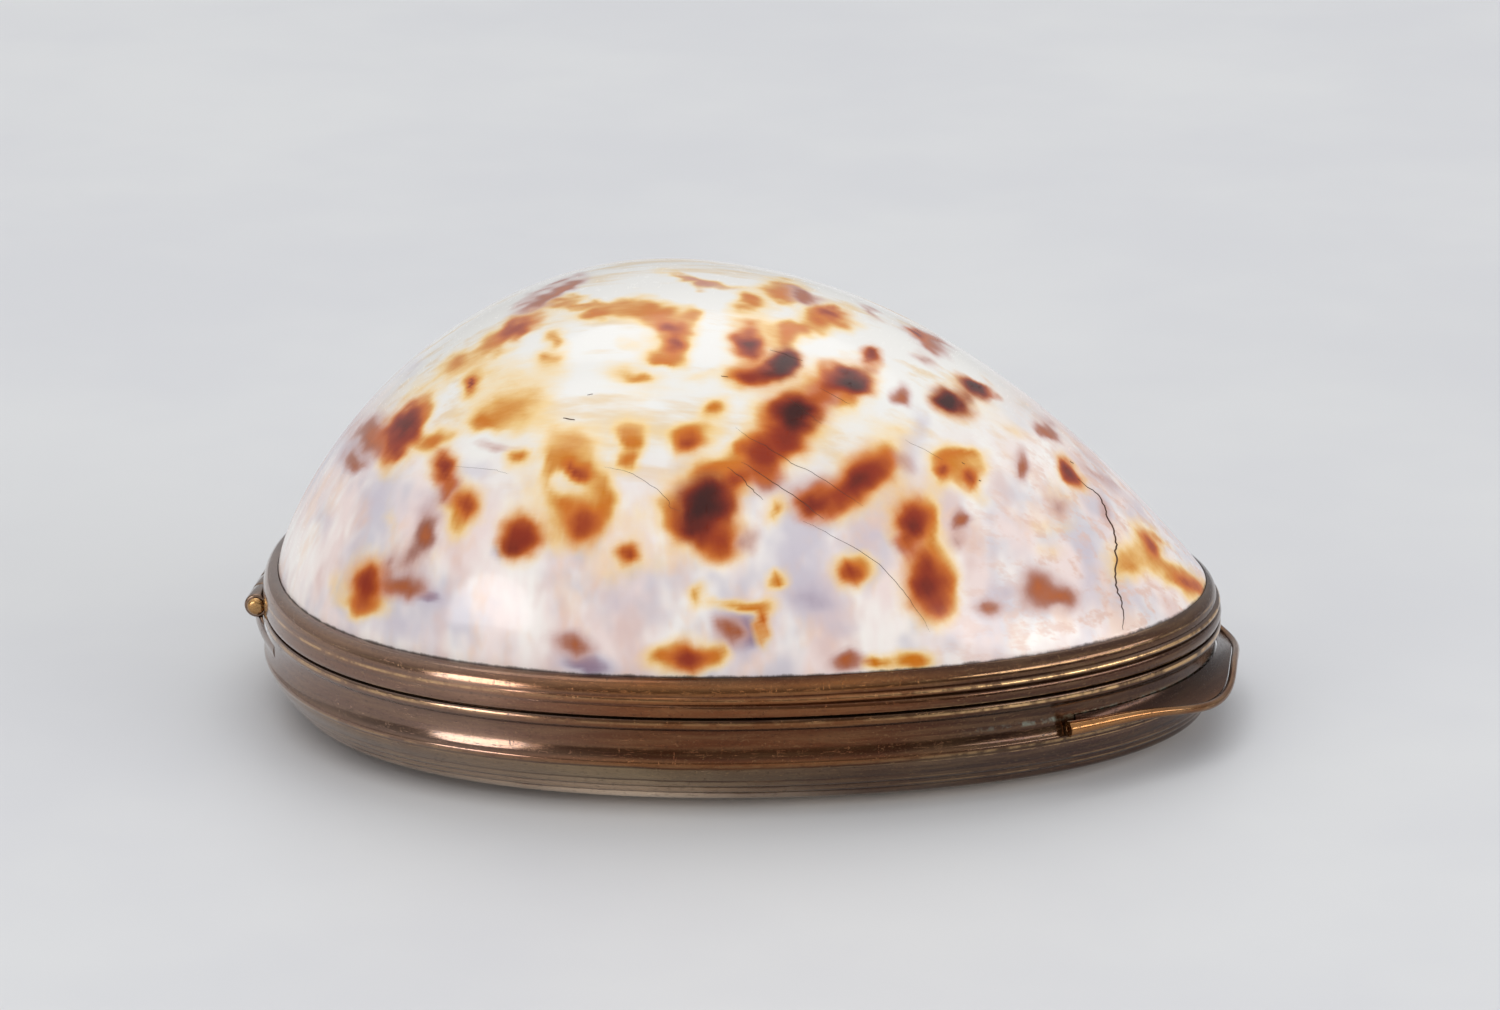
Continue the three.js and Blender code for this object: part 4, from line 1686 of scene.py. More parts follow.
class Effects:
    """Groups of nodes that more than one finish uses."""

    CLOUDS = Noise(90.0, (0.36, 0.66), detail=4, roughness=0.6)
    PITS = Noise(2600.0, (0.52, 0.78), (1, 1, 1.6), 2, 0.7)
    STREAKS = Noise(2600.0, (0.35, 0.75), (0.06, 0.06, 1), 3, 0.6)
    GLINTS = Noise(5200.0, (0.56, 0.76), (0.8, 0.8, 1.3), 2, 0.6)
    ROUND_SCRATCHES = Noise(900.0, (0.6, 0.66), (1, 1, 7), 4, 0.65)
    CROSS_SCRATCHES = Noise(700.0, (0.63, 0.68), (6, 1, 1), 4, 0.65)
    KNOCKS = Noise(260.0, (0.62, 0.8), detail=1, roughness=0.4)

    def __init__(self) -> None:
        """Builds the groups."""
        self.tarnish = self._tarnish()
        self.handling = self._handling()

    @staticmethod
    def _group(
        name: str, inputs: dict[str, float], outputs: Sequence[str],
    ) -> tuple[Graph, bpy.types.Node, bpy.types.Node]:
        """New group with float sockets.

        Args:
            name: Name of the group.
            inputs: Its inputs, each with its default.
            outputs: Its outputs.

        Returns:
            The group's graph, and the nodes of its inputs and of its outputs.
        """
        tree = bpy.data.node_groups.new(name, "ShaderNodeTree")
        kind = "NodeSocketFloat"
        for label, value in inputs.items():
            socket = tree.interface.new_socket(label, in_out="INPUT", socket_type=kind)
            socket.default_value = value
        for label in outputs:
            tree.interface.new_socket(label, in_out="OUTPUT", socket_type=kind)
        graph = Graph(tree)
        return graph, graph.node("NodeGroupInput"), graph.node("NodeGroupOutput")

    def _tarnish(self) -> bpy.types.NodeTree:
        """Uneven patina: soft clouds, fine pits, streaks along the mouldings, bare glints.

        Returns:
            The group.
        """
        graph, ends_in, ends_out = self._group(
            "tarnish", {"Cloud Scale": self.CLOUDS.scale, "Pit Scale": self.PITS.scale},
            ["Clouds", "Pits", "Streaks", "Glints"],
        )
        clouds = graph.mask(self.CLOUDS, ends_in.outputs["Cloud Scale"])
        pits = graph.mask(self.PITS, ends_in.outputs["Pit Scale"])
        graph.feed(ends_out.inputs["Clouds"], clouds)
        graph.feed(ends_out.inputs["Pits"], pits)
        graph.feed(ends_out.inputs["Streaks"], graph.mask(self.STREAKS))
        graph.feed(ends_out.inputs["Glints"], graph.mask(self.GLINTS))
        return graph.tree

    def _handling(self) -> bpy.types.NodeTree:
        """Fine scratches and small knocks: their height, and where the scratches are.

        Returns:
            The group.
        """
        graph, ends_in, ends_out = self._group(
            "handling", {"Scratches": 0.5, "Knocks": 0.5}, ["Height", "Marks"],
        )
        lines = graph.maths(
            "MAXIMUM", graph.mask(self.ROUND_SCRATCHES), graph.mask(self.CROSS_SCRATCHES),
        )
        scored = graph.maths("MULTIPLY", lines, ends_in.outputs["Scratches"])
        pressed = graph.maths("MULTIPLY", graph.mask(self.KNOCKS), ends_in.outputs["Knocks"])
        total = graph.maths("ADD", scored, pressed)
        graph.feed(ends_out.inputs["Height"], graph.maths("SUBTRACT", 1.0, total))
        graph.feed(ends_out.inputs["Marks"], lines)
        return graph.tree


def new_material(name: str) -> tuple[bpy.types.Material, Graph, bpy.types.Node]:
    """Empty material with a Principled BSDF on its output.

    Args:
        name: Name of the material.

    Returns:
        The material, its graph and its shader node.
    """
    material = bpy.data.materials.new(name)
    material.use_nodes = True
    material.node_tree.nodes.clear()
    graph = Graph(material.node_tree)
    shader = graph.node("ShaderNodeBsdfPrincipled")
    output = graph.node("ShaderNodeOutputMaterial")
    graph.feed(output.inputs["Surface"], shader.outputs[0])
    return material, graph, shader


@dataclass(frozen=True)
class Crest:
    """Line along a moulding that is rubbed bare: its height, half its width, its strength."""

    level: float
    half_width: float
    strength: float


@dataclass(frozen=True)
class MetalFinish:
    """Old brown patina on brass, in bands that follow the mouldings, rubbed bare on its crests.

    Levels are heights above the table and spans lie along the box, towards the thumb lip, both
    in millimetres. A span belongs to the effect of the same name, and a tone is its colour. Some of
    the colours are painted light: a painted sheen at the hinge end, painted shade and dark
    reflection towards the thumb lip and under the ledge, and bands that paint reflections or light.
    """

    name: str
    bands: tuple[tuple[float, Colour], ...]
    crests: tuple[Crest, ...] = ()
    band_wander: float = 0.16
    # Paler, greyer metal at the hinge end: partly thinner patina, partly a painted sheen of
    # reflected light.
    hinge_pale_and_sheen: float = 0.6
    hinge_pale_and_sheen_span: Range = (-22.0, -2.0)
    hinge_pale_and_sheen_tone: Colour = srgb(134, 111, 98)
    # Painted shade and dark reflection: the metal turns near-black towards the thumb lip.
    lip_painted_shade: float = 0.0
    lip_painted_shade_span: Range = (8.0, 25.0)
    lip_painted_shade_tone: Colour = srgb(50, 28, 14)
    # Painted shade under the thumb ledge: the lid's lower mouldings turn dark brown towards the
    # thumb lip.
    foot_painted_shade: float = 0.0
    foot_painted_shade_span: Range = (-8.0, 14.0)
    foot_painted_shade_tone: Colour = srgb(72, 54, 48)
    foot_levels: Range = (3.9, 4.15)
    cloud: float = 0.25
    cloud_tone: Colour = srgb(84, 44, 26)
    speck: float = 0.4
    speck_tone: Colour = srgb(46, 30, 20)
    bare: Colour = srgb(222, 180, 128)
    rubbed: float = 0.1
    glints: float = 0.2
    crest_core: float = 0.3
    crest_breaks: Noise = Noise(520.0, (0.36, 0.56), (1, 1, 0.4), 4, 0.65, 0.15)
    lip_rub_span: Range = (8.0, 26.0)
    hinge_rub_span: Range = (-10.0, -26.0)
    hinge_rub: float = 0.8
    middle_rub: float = 0.25
    solder_level: float = 0.0
    solder_spread: Range = (0.05, 0.3)
    solder_span: Range = (19.0, 27.0)
    solder_crust: Noise = Noise(1500.0, (0.42, 0.64), roughness=0.7, most=0.7)
    solder_tone: Colour = srgb(134, 140, 126)
    metallic: float = 0.8
    roughness: float = 0.12
    pit_roughness: float = 0.16
    cloud_roughness: float = 0.06
    coat: float = 0.1
    coat_roughness: float = 0.1
    hinge_coat: float = 0.75
    hinge_coat_span: Range = (-26.0, 0.0)
    lip_coat: float = 0.3
    lip_coat_span: Range = (10.0, 25.0)
    bump_strength: float = 0.5
    bump_depth: float = 0.00004

    def crest_mask(self, graph: Graph, height: Socket, along: Socket) -> Socket:
        """Where the crests are rubbed bare, most at the ends of the box.

        Args:
            graph: The material's graph.
            height: Height in millimetres.
            along: Distance towards the thumb lip in millimetres.

        Returns:
            The mask.
        """
        mask: Source = 0.0
        for crest in self.crests:
            off = graph.maths("ABSOLUTE", graph.maths("SUBTRACT", height, crest.level))
            core = crest.half_width * self.crest_core
            line = graph.step(off, (core, crest.half_width), crest.strength, 0)
            mask = graph.maths("MAXIMUM", mask, line)
        kept = graph.maths("MULTIPLY", mask, graph.mask(self.crest_breaks))
        lip = graph.step(along, self.lip_rub_span)
        hinge = graph.step(along, self.hinge_rub_span, 0, self.hinge_rub)
        ends = graph.maths("MAXIMUM", graph.maths("MAXIMUM", lip, hinge), self.middle_rub)
        return graph.maths("MULTIPLY", kept, ends)

    def patina(self, graph: Graph, height: Socket, along: Socket, clouds: Socket) -> Socket:
        """Colour of the metal where nothing has rubbed it.

        Args:
            graph: The material's graph.
            height: Height in millimetres.
            along: Distance towards the thumb lip in millimetres.
            clouds: Mask of the clouds.

        Returns:
            The colour.
        """
        wander = graph.maths("MULTIPLY_ADD", clouds, self.band_wander, -self.band_wander / 2)
        colour = graph.bands(graph.maths("ADD", height, wander), self.bands)
        # Painted sheen at the hinge end, mixed with a paler tone of the metal.
        sheen = graph.step(along, self.hinge_pale_and_sheen_span, self.hinge_pale_and_sheen, 0)
        colour = graph.blend(sheen, colour, self.hinge_pale_and_sheen_tone)
        # Painted shade and dark reflection, deepening towards the thumb lip.
        dark = graph.step(along, self.lip_painted_shade_span, 0, self.lip_painted_shade)
        colour = graph.blend(dark, colour, self.lip_painted_shade_tone)
        # Painted shade on the lower mouldings, below the arris, growing towards the thumb lip where
        # the ledge shades them.
        if self.foot_painted_shade:
            foot = graph.step(height, self.foot_levels, self.foot_painted_shade, 0)
            brown = graph.maths("MULTIPLY", foot, graph.step(along, self.foot_painted_shade_span))
            colour = graph.blend(brown, colour, self.foot_painted_shade_tone)
        return graph.blend(graph.maths("MULTIPLY", clouds, self.cloud), colour, self.cloud_tone)

    def solder(self, graph: Graph, height: Socket, along: Socket) -> Socket:
        """Mask of the crust on the solder beside the thumb lip.

        Args:
            graph: The material's graph.
            height: Height in millimetres.
            along: Distance towards the thumb lip in millimetres.

        Returns:
            The mask.
        """
        off = graph.maths("ABSOLUTE", graph.maths("SUBTRACT", height, self.solder_level))
        near = graph.step(off, self.solder_spread, 1, 0)
        line = graph.maths("MULTIPLY", near, graph.step(along, self.solder_span))
        return graph.maths("MULTIPLY", graph.mask(self.solder_crust), line)

    def build(self, effects: Effects) -> bpy.types.Material:
        """Makes the material.

        Args:
            effects: The shared groups.

        Returns:
            The material.
        """
        material, graph, shader = new_material(self.name)
        tarnish = graph.node("ShaderNodeGroup", node_tree=effects.tarnish)
        handling = graph.node("ShaderNodeGroup", node_tree=effects.handling)
        clouds, pits, streaks, glints = tarnish.outputs[:4]
        height, along = graph.axis("Z"), graph.axis("X")
        gleam = graph.maths(
            "MAXIMUM", graph.maths("MULTIPLY", streaks, self.rubbed),
            graph.maths("MULTIPLY", glints, self.glints),
        )
        rub = graph.maths("MAXIMUM", gleam, self.crest_mask(graph, height, along))
        colour = graph.blend(rub, self.patina(graph, height, along, clouds), self.bare)
        specks = graph.maths("MULTIPLY", pits, self.speck)
        colour = graph.blend(specks, colour, self.speck_tone)
        if self.solder_level:
            colour = graph.blend(self.solder(graph, height, along), colour, self.solder_tone)
        graph.feed(shader.inputs["Base Color"], colour)
        graph.feed(shader.inputs["Metallic"], graph.between(rub, self.metallic, 1.0))
        dull = graph.maths("MULTIPLY_ADD", pits, self.pit_roughness, self.roughness)
        dull = graph.maths("MULTIPLY_ADD", clouds, self.cloud_roughness, dull)
        graph.feed(shader.inputs["Roughness"], dull)
        hinge_gloss = graph.step(along, self.hinge_coat_span, self.hinge_coat, self.coat)
        lip_gloss = graph.step(along, self.lip_coat_span, self.coat, self.lip_coat)
        gloss = graph.maths("MAXIMUM", hinge_gloss, lip_gloss)
        graph.feed(shader.inputs["Coat Weight"], gloss)
        shader.inputs["Coat Roughness"].default_value = self.coat_roughness
        graph.bump(shader, handling.outputs["Height"], self.bump_strength, self.bump_depth)
        return material


@dataclass(frozen=True)
class InkTone:
    """How an ink looks, thin and thick, and how uneven it is."""

    ink: Ink
    thin: Colour
    thick: Colour
    unevenness: float
    grain: float


@dataclass(frozen=True)
class Veil:
    """Thin colour that lies over the shell's ground."""

    tone: Colour
    pattern: Noise


@dataclass(frozen=True)
class ShellFinish:
    """Polished cowrie: inks that lie at different depths under a clear glaze.

    Levels are heights above the table and spans lie along the box, both in millimetres. The
    inks' grains, upright on the sides and drawn out on the crown, multiply each ink's own grain.
    """

    name: str = "polished_cowrie"
    crown_levels: Range = (21.0, 29.0)
    side_tones: tuple[Colour, Colour] = (srgb(251, 244, 237), srgb(242, 222, 216))
    side_noise: Noise = Noise(210.0, (0.36, 0.62), (1, 1, 0.3))
    crown_tones: tuple[Colour, Colour] = (srgb(240, 237, 231), srgb(232, 204, 160))
    crown_noise: Noise = Noise(330.0, (0.5, 0.7), (0.22, 1, 1), 4, 0.6, most=0.8)
    veils: tuple[Veil, ...] = (
        Veil(srgb(204, 197, 205), Noise(120.0, (0.43, 0.62), (1, 1, 0.8), 3, 0.6, most=0.85)),
        Veil(srgb(222, 190, 182), Noise(170.0, (0.5, 0.68), (1, 1, 0.6), most=0.7)),
        Veil(srgb(242, 196, 156), Noise(300.0, (0.5, 0.7), (1, 1, 0.5), 3, 0.6, most=0.35)),
    )
    growth: Veil = Veil(srgb(226, 186, 166), Noise(900.0, (0.48, 0.66), (0.16, 1, 1), 3, 0.6))
    growth_span: Range = (12.0, 30.0)
    growth_strength: float = 0.7
    tones: tuple[InkTone, ...] = (
        InkTone(Ink.VIOLET, srgb(204, 194, 205), srgb(148, 124, 144), 0.3, 260.0),
        InkTone(Ink.GOLD, srgb(250, 212, 132), srgb(206, 120, 8), 0.45, 520.0),
        InkTone(Ink.MAUVE, srgb(204, 160, 148), srgb(138, 80, 62), 0.4, 420.0),
        InkTone(Ink.RUST, srgb(208, 106, 30), srgb(150, 46, 6), 0.4, 420.0),
        InkTone(Ink.CORE, srgb(124, 32, 6), srgb(58, 10, 2), 0.6, 340.0),
    )
    ink_edges: Range = (0.04, 0.72)
    ink_limit: Range = (0.02, 0.2)
    ink_depths: Range = (0.35, 1.0)
    ink_grains: tuple[Noise, Noise] = (
        Noise(1.0, (0, 1), (1, 1, 0.7), 4, 0.6), Noise(1.3, (0, 1), (0.25, 1, 1), 4, 0.6),
    )
    dirt_foot: float = 11.06
    dirt_height: float = 0.55
    dirt_edges: Range = (-0.12, 0.1)
    dirt_strength: float = 0.8
    dirt_noise: Noise = Noise(700.0, (0, 1), (1, 1, 0.3), 5, 0.72)
    dirt_tone: Colour = srgb(58, 40, 26)
    scratches: float = 0.4
    roughness: float = 0.2
    scratch_roughness: float = 0.06
    specular: float = 0.2
    coat: float = 0.4
    scratch_coat: float = -0.3
    coat_roughness: float = 0.11
    bump_strength: float = 0.04
    bump_depth: float = 0.00002

    def ground(self, graph: Graph, crown: Socket) -> Socket:
        """Ground colour: soft upright veils on the sides, drawn-out streaks on the crown.

        Args:
            graph: The material's graph.
            crown: Mask of the crown.

        Returns:
            The colour.
        """
        sides = graph.blend(graph.mask(self.side_noise), *self.side_tones)
        for veil in self.veils:
            sides = graph.blend(graph.mask(veil.pattern), sides, veil.tone)
        lip_end = graph.step(graph.axis("X"), self.growth_span, 0, self.growth_strength)
        lines = graph.maths("MULTIPLY", graph.mask(self.growth.pattern), lip_end)
        sides = graph.blend(lines, sides, self.growth.tone)
        top = graph.blend(graph.mask(self.crown_noise), *self.crown_tones)
        return graph.blend(crown, sides, top)

    def inked(self, graph: Graph, crown: Socket, colour: Socket, tone: InkTone) -> Socket:
        """Colour with one ink laid over it.

        Args:
            graph: The material's graph.
            crown: Mask of the crown, where the ink is drawn out along the box.
            colour: The colour under the ink.
            tone: The ink's tones.

        Returns:
            The colour.
        """
        drop = graph.node("ShaderNodeAttribute", attribute_name=tone.ink.value).outputs["Fac"]
        grains = (graph.grain(each, tone.grain * each.scale) for each in self.ink_grains)
        loose = graph.maths("SUBTRACT", graph.between(crown, *grains), 0.5)
        uneven = graph.maths("MULTIPLY_ADD", loose, tone.unevenness, drop)
        mask = graph.maths(
            "MULTIPLY", graph.step(uneven, self.ink_edges), graph.step(drop, self.ink_limit),
        )
        shade = graph.blend(graph.step(uneven, self.ink_depths), tone.thin, tone.thick)
        return graph.blend(mask, colour, shade)

    def build(self, effects: Effects) -> bpy.types.Material:
        """Makes the material.

        Args:
            effects: The shared groups.

        Returns:
            The material.
        """
        material, graph, shader = new_material(self.name)
        handling = graph.node("ShaderNodeGroup", node_tree=effects.handling)
        handling.inputs["Scratches"].default_value = self.scratches
        handling.inputs["Knocks"].default_value = 0.0
        marks = handling.outputs["Marks"]
        height = graph.axis("Z")
        crown = graph.step(height, self.crown_levels)
        colour = self.ground(graph, crown)
        for tone in self.tones:
            colour = self.inked(graph, crown, colour, tone)
        dirt_top = graph.maths(
            "MULTIPLY_ADD", graph.grain(self.dirt_noise), self.dirt_height, self.dirt_foot,
        )
        above = graph.maths("SUBTRACT", height, dirt_top)
        dirt = graph.step(above, self.dirt_edges, self.dirt_strength, 0)
        colour = graph.blend(dirt, colour, self.dirt_tone)
        graph.feed(shader.inputs["Base Color"], colour)
        rough = graph.maths("MULTIPLY_ADD", marks, self.scratch_roughness, self.roughness)
        graph.feed(shader.inputs["Roughness"], graph.maths("MAXIMUM", rough, dirt))
        glaze = graph.maths("MULTIPLY_ADD", marks, self.scratch_coat, self.coat)
        graph.feed(shader.inputs["Coat Weight"], glaze)
        shader.inputs["Coat Roughness"].default_value = self.coat_roughness
        shader.inputs["Specular IOR Level"].default_value = self.specular
        graph.bump(shader, handling.outputs["Height"], self.bump_strength, self.bump_depth)
        return material


@dataclass(frozen=True)
class PlainFinish:
    """Matt finish with a cloudy tone, for what is mostly hidden and for the table."""

    name: str
    low: Colour
    high: Colour
    cloud_scale: float
    roughness: float
    grain_scale: float
    grain_depth: float
    grain_roughness: float = 0.02
    bump_strength: float = 0.3

    def build(self, effects: Effects) -> bpy.types.Material:
        """Makes the material.

        Args:
            effects: The shared groups.

        Returns:
            The material.
        """
        material, graph, shader = new_material(self.name)
        tarnish = graph.node("ShaderNodeGroup", node_tree=effects.tarnish)
        tarnish.inputs["Cloud Scale"].default_value = self.cloud_scale
        tarnish.inputs["Pit Scale"].default_value = self.grain_scale
        clouds, pits = tarnish.outputs[:2]
        graph.feed(shader.inputs["Base Color"], graph.blend(clouds, self.low, self.high))
        rough = graph.maths("MULTIPLY_ADD", pits, self.grain_roughness, self.roughness)
        graph.feed(shader.inputs["Roughness"], rough)
        graph.bump(shader, pits, self.bump_strength, self.grain_depth)
        return material


@dataclass(frozen=True)
class Finishes:
    """Finishes of the box."""

    shell: ShellFinish = ShellFinish()
    crack: PlainFinish = PlainFinish(
        "crack_dirt", srgb(66, 40, 24), srgb(92, 62, 42),
        cloud_scale=900.0, roughness=0.8, grain_scale=4000.0, grain_depth=0.00001,
    )
    cement: PlainFinish = PlainFinish(
        "pitch_cement", srgb(34, 26, 20), srgb(58, 46, 36),
        cloud_scale=300.0, roughness=0.75, grain_scale=1500.0, grain_depth=0.0002,
    )
    collar: MetalFinish = MetalFinish(
        "collar_brass",
        bands=(
            (8.2, srgb(66, 36, 20)), (8.4, srgb(124, 70, 36)), (9.1, srgb(124, 71, 36)),
            (9.28, srgb(88, 48, 27)), (9.5, srgb(142, 86, 44)), (9.85, srgb(140, 84, 43)),
            (9.98, srgb(96, 54, 30)), (10.2, srgb(142, 88, 46)), (10.8, srgb(146, 92, 50)),
            (11.12, srgb(104, 62, 34)), (11.3, srgb(44, 26, 16)),
        ),
        crests=(Crest(9.72, 0.16, 0.9), Crest(8.36, 0.07, 0.5), Crest(10.5, 0.1, 0.3)),
        # Painted shade and dark reflection near the thumb lip.
        lip_painted_shade=0.85,
    )
    # On the lid, the pale grey bands below 4 mm, on the turned band and the reeds, are partly metal
    # with thinner patina and partly a painted reflection of the bright table; the palest, at the
    # foot, is painted reflection.
    lid: MetalFinish = MetalFinish(
        "lid_brass",
        bands=(
            (0.9, srgb(252, 234, 214)), (1.5, srgb(224, 200, 176)), (1.62, srgb(88, 66, 52)),
            (1.74, srgb(190, 166, 142)), (2.14, srgb(178, 154, 130)), (2.26, srgb(84, 62, 48)),
            (2.38, srgb(166, 144, 120)), (2.78, srgb(158, 138, 114)), (2.9, srgb(74, 54, 42)),
            (3.02, srgb(146, 128, 104)), (3.95, srgb(134, 114, 88)), (4.1, srgb(66, 40, 25)),
            (4.25, srgb(128, 78, 40)), (4.65, srgb(116, 68, 35)), (4.9, srgb(88, 48, 25)),
            (6.0, srgb(104, 58, 29)), (7.2, srgb(98, 55, 29)), (7.35, srgb(66, 38, 22)),
            (7.5, srgb(122, 74, 39)), (7.9, srgb(120, 72, 37)), (8.1, srgb(48, 28, 17)),
        ),
        crests=(
            Crest(7.82, 0.2, 0.8), Crest(4.32, 0.2, 0.55), Crest(3.98, 0.06, 0.4),
            Crest(1.94, 0.1, 0.5), Crest(2.58, 0.1, 0.4),
        ),
        # Painted shade and dark reflection near the thumb lip, and painted shade on the lower
        # mouldings under the ledge.
        lip_painted_shade=0.95, foot_painted_shade=0.85, solder_level=6.0,
    )
    # The plate's pale colour is a painted reflection of the bright table that it stands on.
    plate: MetalFinish = MetalFinish(
        "plate_brass", bands=((0.0, srgb(222, 202, 182)), (1.4, srgb(236, 216, 196))),
        roughness=0.28,
    )
    inner: MetalFinish = MetalFinish(
        "inner_brass", bands=((6.0, srgb(150, 116, 78)), (9.0, srgb(164, 128, 88))),
        metallic=0.9, roughness=0.32,
    )
    # The ledge's golden colour low down, towards the roll, is a painted reflection in its hollow;
    # higher up it is dark brown.
    ledge: MetalFinish = MetalFinish(
        "ledge_brass",
        bands=((3.9, srgb(124, 76, 34)), (4.6, srgb(72, 43, 23)), (5.6, srgb(34, 22, 16))),
        metallic=0.85, coat=0.05, lip_coat=0.1, roughness=0.16, rubbed=0.03, glints=0.04,
        hinge_pale_and_sheen=0.0,
    )
    # The roll is painted lighter on top and darker underneath: painted light and painted shade.
    roll: MetalFinish = MetalFinish(
        "rolled_brass",
        bands=((3.8, srgb(92, 54, 26)), (4.9, srgb(126, 80, 40)), (5.7, srgb(166, 114, 62))),
        bare=BRIGHT_BRASS, metallic=0.95, roughness=0.1, rubbed=0.15, glints=0.1,
        hinge_pale_and_sheen=0.0,
    )
    barrel: MetalFinish = MetalFinish(
        "barrel_brass",
        bands=((7.2, srgb(92, 68, 50)), (8.4, srgb(126, 96, 70)), (9.2, srgb(108, 82, 62))),
        # The barrel takes part of the hinge end's painted sheen.
        metallic=0.9, roughness=0.2, hinge_pale_and_sheen=0.3,
    )
    pin: MetalFinish = MetalFinish(
        "pin_brass", bands=((7.4, srgb(150, 108, 58)), (8.9, srgb(204, 156, 92))),
        bare=BRIGHT_BRASS, metallic=0.95, roughness=0.2, rubbed=0.2, hinge_pale_and_sheen=0.0,
    )


# The box and its surroundings


@dataclass
class SnuffBox:
    """The whole box: its shapes, its finishes and the pieces made from them."""

    view: Viewpoint
    rim: Rim = Rim()
    finishes: Finishes = Finishes()
    effects: Effects = field(default_factory=Effects)
    metals: dict[str, bpy.types.Material] = field(default_factory=dict)

    def __post_init__(self) -> None:
        """Makes the shapes."""
        self.hinge = Hinge(self.rim)
        self.collar = Collar(self.rim)
        self.lid = Lid(self.rim)
        self.thumb_lip = ThumbLip(self.rim, self.lid)
        self.dome = Dome(self.rim, self.collar)

    def metal(self, finish: MetalFinish) -> bpy.types.Material:
        """Material of a metal finish, which is built once.

        Args:
            finish: The finish.

        Returns:
            The material.
        """
        if finish.name not in self.metals:
            self.metals[finish.name] = finish.build(self.effects)
        return self.metals[finish.name]

    def add(
        self, mesh: bmesh.types.BMesh, name: str, node: str, body: Body, slot: Slot,
        finish: MetalFinish,
    ) -> bpy.types.Object:
        """Puts a metal piece into the scene.

        Args:
            mesh: Its mesh in millimetres, which is freed.
            name: Its name.
            node: The node of the frame that it stands for.
            body: The body that carries it.
            slot: Its material slot.
            finish: Its finish.

        Returns:
            The piece.
        """
        return Piece(name, (node,), body, slot, self.metal(finish)).from_mesh(mesh)

    def build_shell(self) -> None:
        """Shell with its colours, its cracks and the cement under its foot."""
        mesh = self.dome.mesh()
        inks = ShellInks(mesh, self.view, self.dome)
        for spot in FRONT_SPOTS:
            inks.paint_seen(spot)
        inks.paint_hidden()
        polished = self.finishes.shell.build(self.effects)
        dirt = self.finishes.crack.build(self.effects)
        threads = inks.crack_curve("shell_cracks")
        Piece("cowrie_dome", ("cowrie_shell",), Body.BOX, Slot.SHELL, polished).from_mesh(mesh)
        cracks = bpy.data.objects.new("shell_cracks", threads)
        Piece("shell_cracks", (), Body.BOX, Slot.SHELL, dirt).declare(cracks)
        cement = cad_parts["cement_bed"]
        cement.material_slots[0].material = self.finishes.cement.build(self.effects)

    def build_mounts(self) -> None:
        """Collar and bearing lip, bedded round the hinge."""
        finishes = self.finishes
        ring = self.add(
            self.collar.ring(), "moulded_collar", "collar", Body.BOX, Slot.COLLAR,
            finishes.collar,
        )
        lip = self.add(
            self.collar.bearing_lip(), "inner_lip", "bearing_lip", Body.BOX, Slot.INNER,
            finishes.inner,
        )
        for piece in (ring, lip):
            cut(piece, self.hinge.room(of_lid=False))

    def build_lid(self) -> None:
        """Lid's side, plate and thumb lip."""
        finishes = self.finishes
        side = self.add(
            self.lid.side(), "lid_side", "lid_rim", Body.LID, Slot.LID, finishes.lid,
        )
        cut(side, self.hinge.room(of_lid=True))
        self.add(
            self.lid.plate(), "resting_plate", "lid_plate", Body.LID, Slot.PLATE,
            finishes.plate,
        )
        self.add(
            self.thumb_lip.plate(), "thumb_ledge", "thumb_plate", Body.LID, Slot.WORN,
            finishes.ledge,
        )
        self.add(
            self.thumb_lip.roll(), "rolled_edge", "thumb_roll", Body.LID, Slot.WORN,
            finishes.roll,
        )

    def build_hinge(self) -> None:
        """Bearer, knuckles and pin."""
        hinge, finishes = self.hinge, self.finishes
        bearer = self.add(
            hinge.bearer(), "hinge_strip", "lid_hinge_bearer", Body.LID, Slot.LID,
            finishes.lid,
        )
        cut(bearer, hinge.room(of_lid=True))
        for index in range(hinge.knuckle_count):
            body = Body.LID if hinge.on_lid(index) else Body.BOX
            self.add(
                hinge.knuckle(index), f"barrel_{index + 1}",
                f"{body.value}_knuckle_{index + 1}", body, Slot.WORN, finishes.barrel,
            )
        self.add(hinge.pin(), "barrel_pin", "hinge_pin", Body.LID, Slot.WORN, finishes.pin)

    def build(self) -> None:
        """Builds every piece."""
        self.build_shell()
        self.build_mounts()
        self.build_lid()
        self.build_hinge()


@dataclass(frozen=True)
class Lamp:
    """Soft oval lamp that faces the box, in metres and degrees.

    Its radiance is how bright it looks, where 1 is a white sheet in full light.
    """

    name: str
    azimuth: float
    elevation: float
    distance: float
    size: tuple[float, float]
    radiance: float

    def set_up(self, aim: Vector) -> None:
        """Puts the lamp into the scene.

        Args:
            aim: The point that it faces.
        """
        towards = direction(self.azimuth, self.elevation)
        data = bpy.data.lights.new(self.name, "AREA")
        data.shape = "ELLIPSE"
        data.size, data.size_y = self.size
        data.energy = self.radiance * math.pi * math.pi / 4 * self.size[0] * self.size[1]
        lamp = bpy.data.objects.new(self.name, data)
        lamp.location = aim + towards * self.distance
        lamp.rotation_euler = towards.to_track_quat("Z", "Y").to_euler()
        bpy.context.scene.collection.objects.link(lamp)


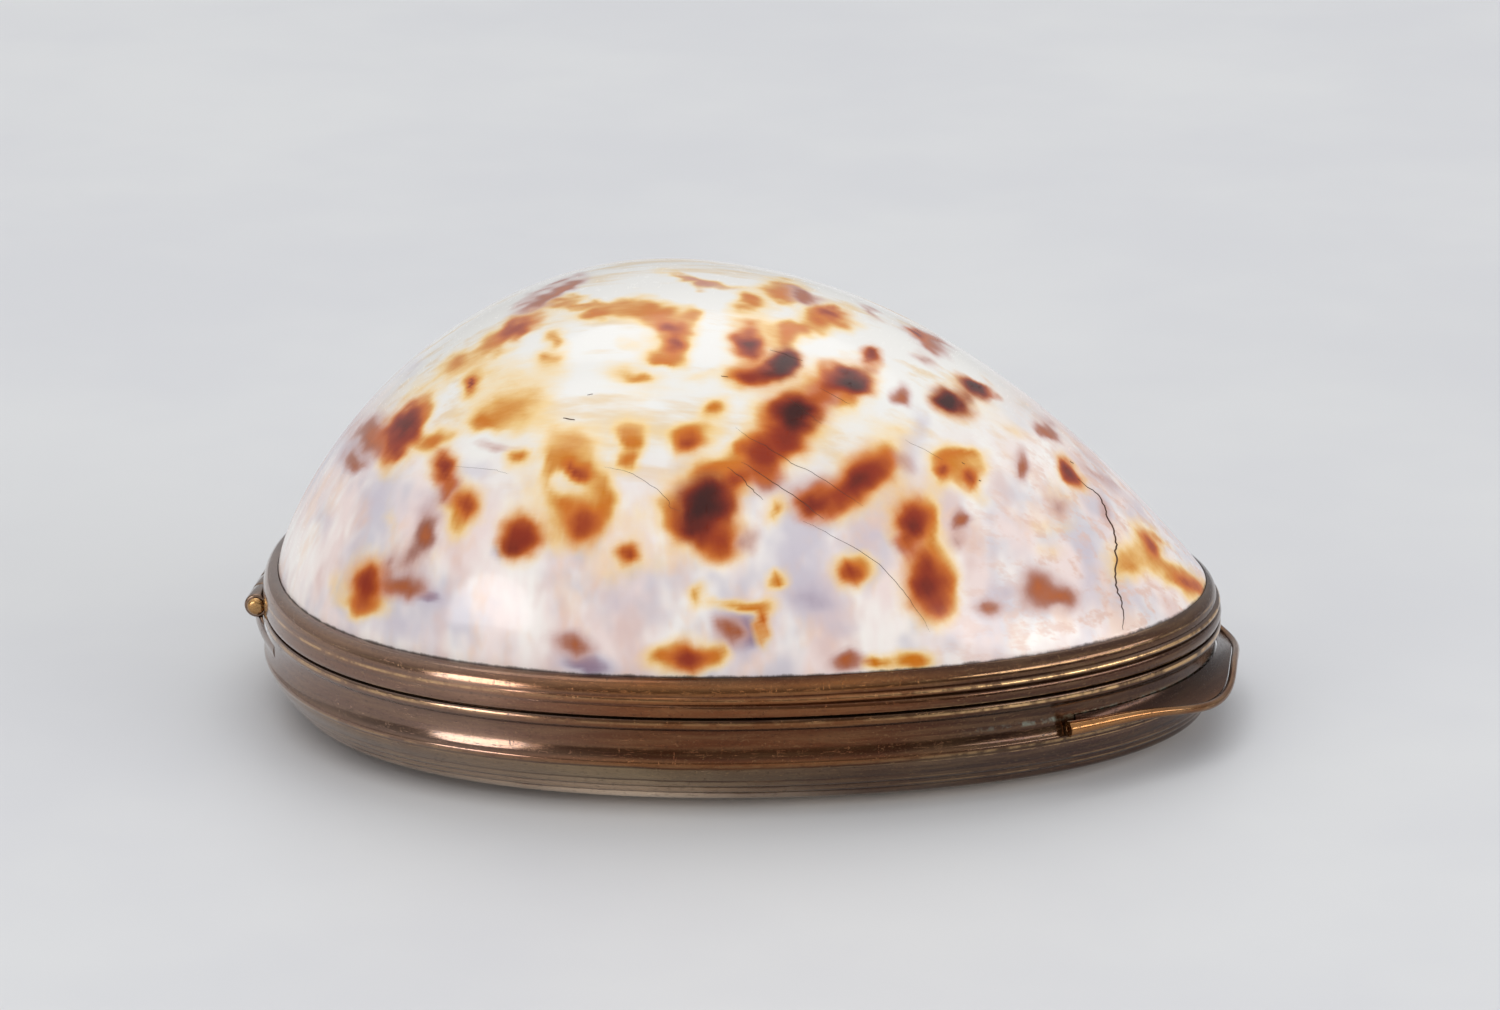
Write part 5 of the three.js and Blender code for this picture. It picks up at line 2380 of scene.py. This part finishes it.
@dataclass(frozen=True)
class Studio:
    """Pale table and soft lamps in a room that is dim in front and bright overhead."""

    table_size: float = 4.0
    table_finish: PlainFinish = PlainFinish(
        "table_card", srgb(213, 213, 215), srgb(219, 219, 219),
        cloud_scale=14.0, roughness=0.5, grain_scale=900.0, grain_depth=0.000002,
    )
    aim: tuple[float, float, float] = (0.0, 0.0, 0.018)
    lamps: tuple[Lamp, ...] = (
        Lamp("window_left", -34, 3.5, 1.0, (0.42, 0.46), 7.6),
        Lamp("sky_above", -60, 72, 0.95, (0.6, 0.5), 1.2),
        Lamp("window_right", 70, 19, 1.0, (1.0, 0.22), 5.5),
        Lamp("sky_behind", 178, 58, 1.3, (1.3, 0.8), 1.25),
    )
    room_tone: Colour = srgb(238, 240, 243)
    front_strength: float = 0.12
    wall_strength: float = 0.5
    ceiling_strength: float = 0.86
    front_to_walls: Range = (-0.7, 0.1)
    walls_to_ceiling: Range = (0.0, 0.75)

    def table(self, effects: Effects) -> None:
        """Pale table under the box.

        Args:
            effects: The shared groups.
        """
        mesh = bmesh.new()
        bmesh.ops.create_grid(mesh, x_segments=8, y_segments=8, size=self.table_size / 2)
        data = bpy.data.meshes.new("table")
        mesh.to_mesh(data)
        mesh.free()
        data.materials.append(self.table_finish.build(effects))
        top = bpy.data.objects.new("table", data)
        bpy.context.scene.collection.objects.link(top)

    def room(self) -> None:
        """Pale surroundings, whose strength changes with the direction."""
        world = bpy.data.worlds.new("studio")
        world.use_nodes = True
        graph = Graph(world.node_tree)
        split = graph.node("ShaderNodeSeparateXYZ")
        graph.feed(split.inputs[0], graph.node("ShaderNodeTexCoord").outputs["Generated"])
        low = graph.step(
            split.outputs["Y"], self.front_to_walls, self.front_strength, self.wall_strength,
        )
        rise = graph.step(split.outputs["Z"], self.walls_to_ceiling)
        background = world.node_tree.nodes["Background"]
        background.inputs["Color"].default_value = self.room_tone
        graph.feed(background.inputs["Strength"], graph.between(rise, low, self.ceiling_strength))
        bpy.context.scene.world = world

    def set_up(self, effects: Effects) -> None:
        """Puts table, lamps and surroundings into the scene.

        Args:
            effects: The shared groups.
        """
        self.table(effects)
        for lamp in self.lamps:
            lamp.set_up(Vector(self.aim))
        self.room()
        bpy.context.scene.view_settings.view_transform = "Standard"


def main() -> None:
    """Builds the box and its surroundings."""
    view = Viewpoint()
    view.set_up()
    box = SnuffBox(view)
    box.build()
    Studio().set_up(box.effects)
    log.info("done")


if __name__ == "__main__":
    main()
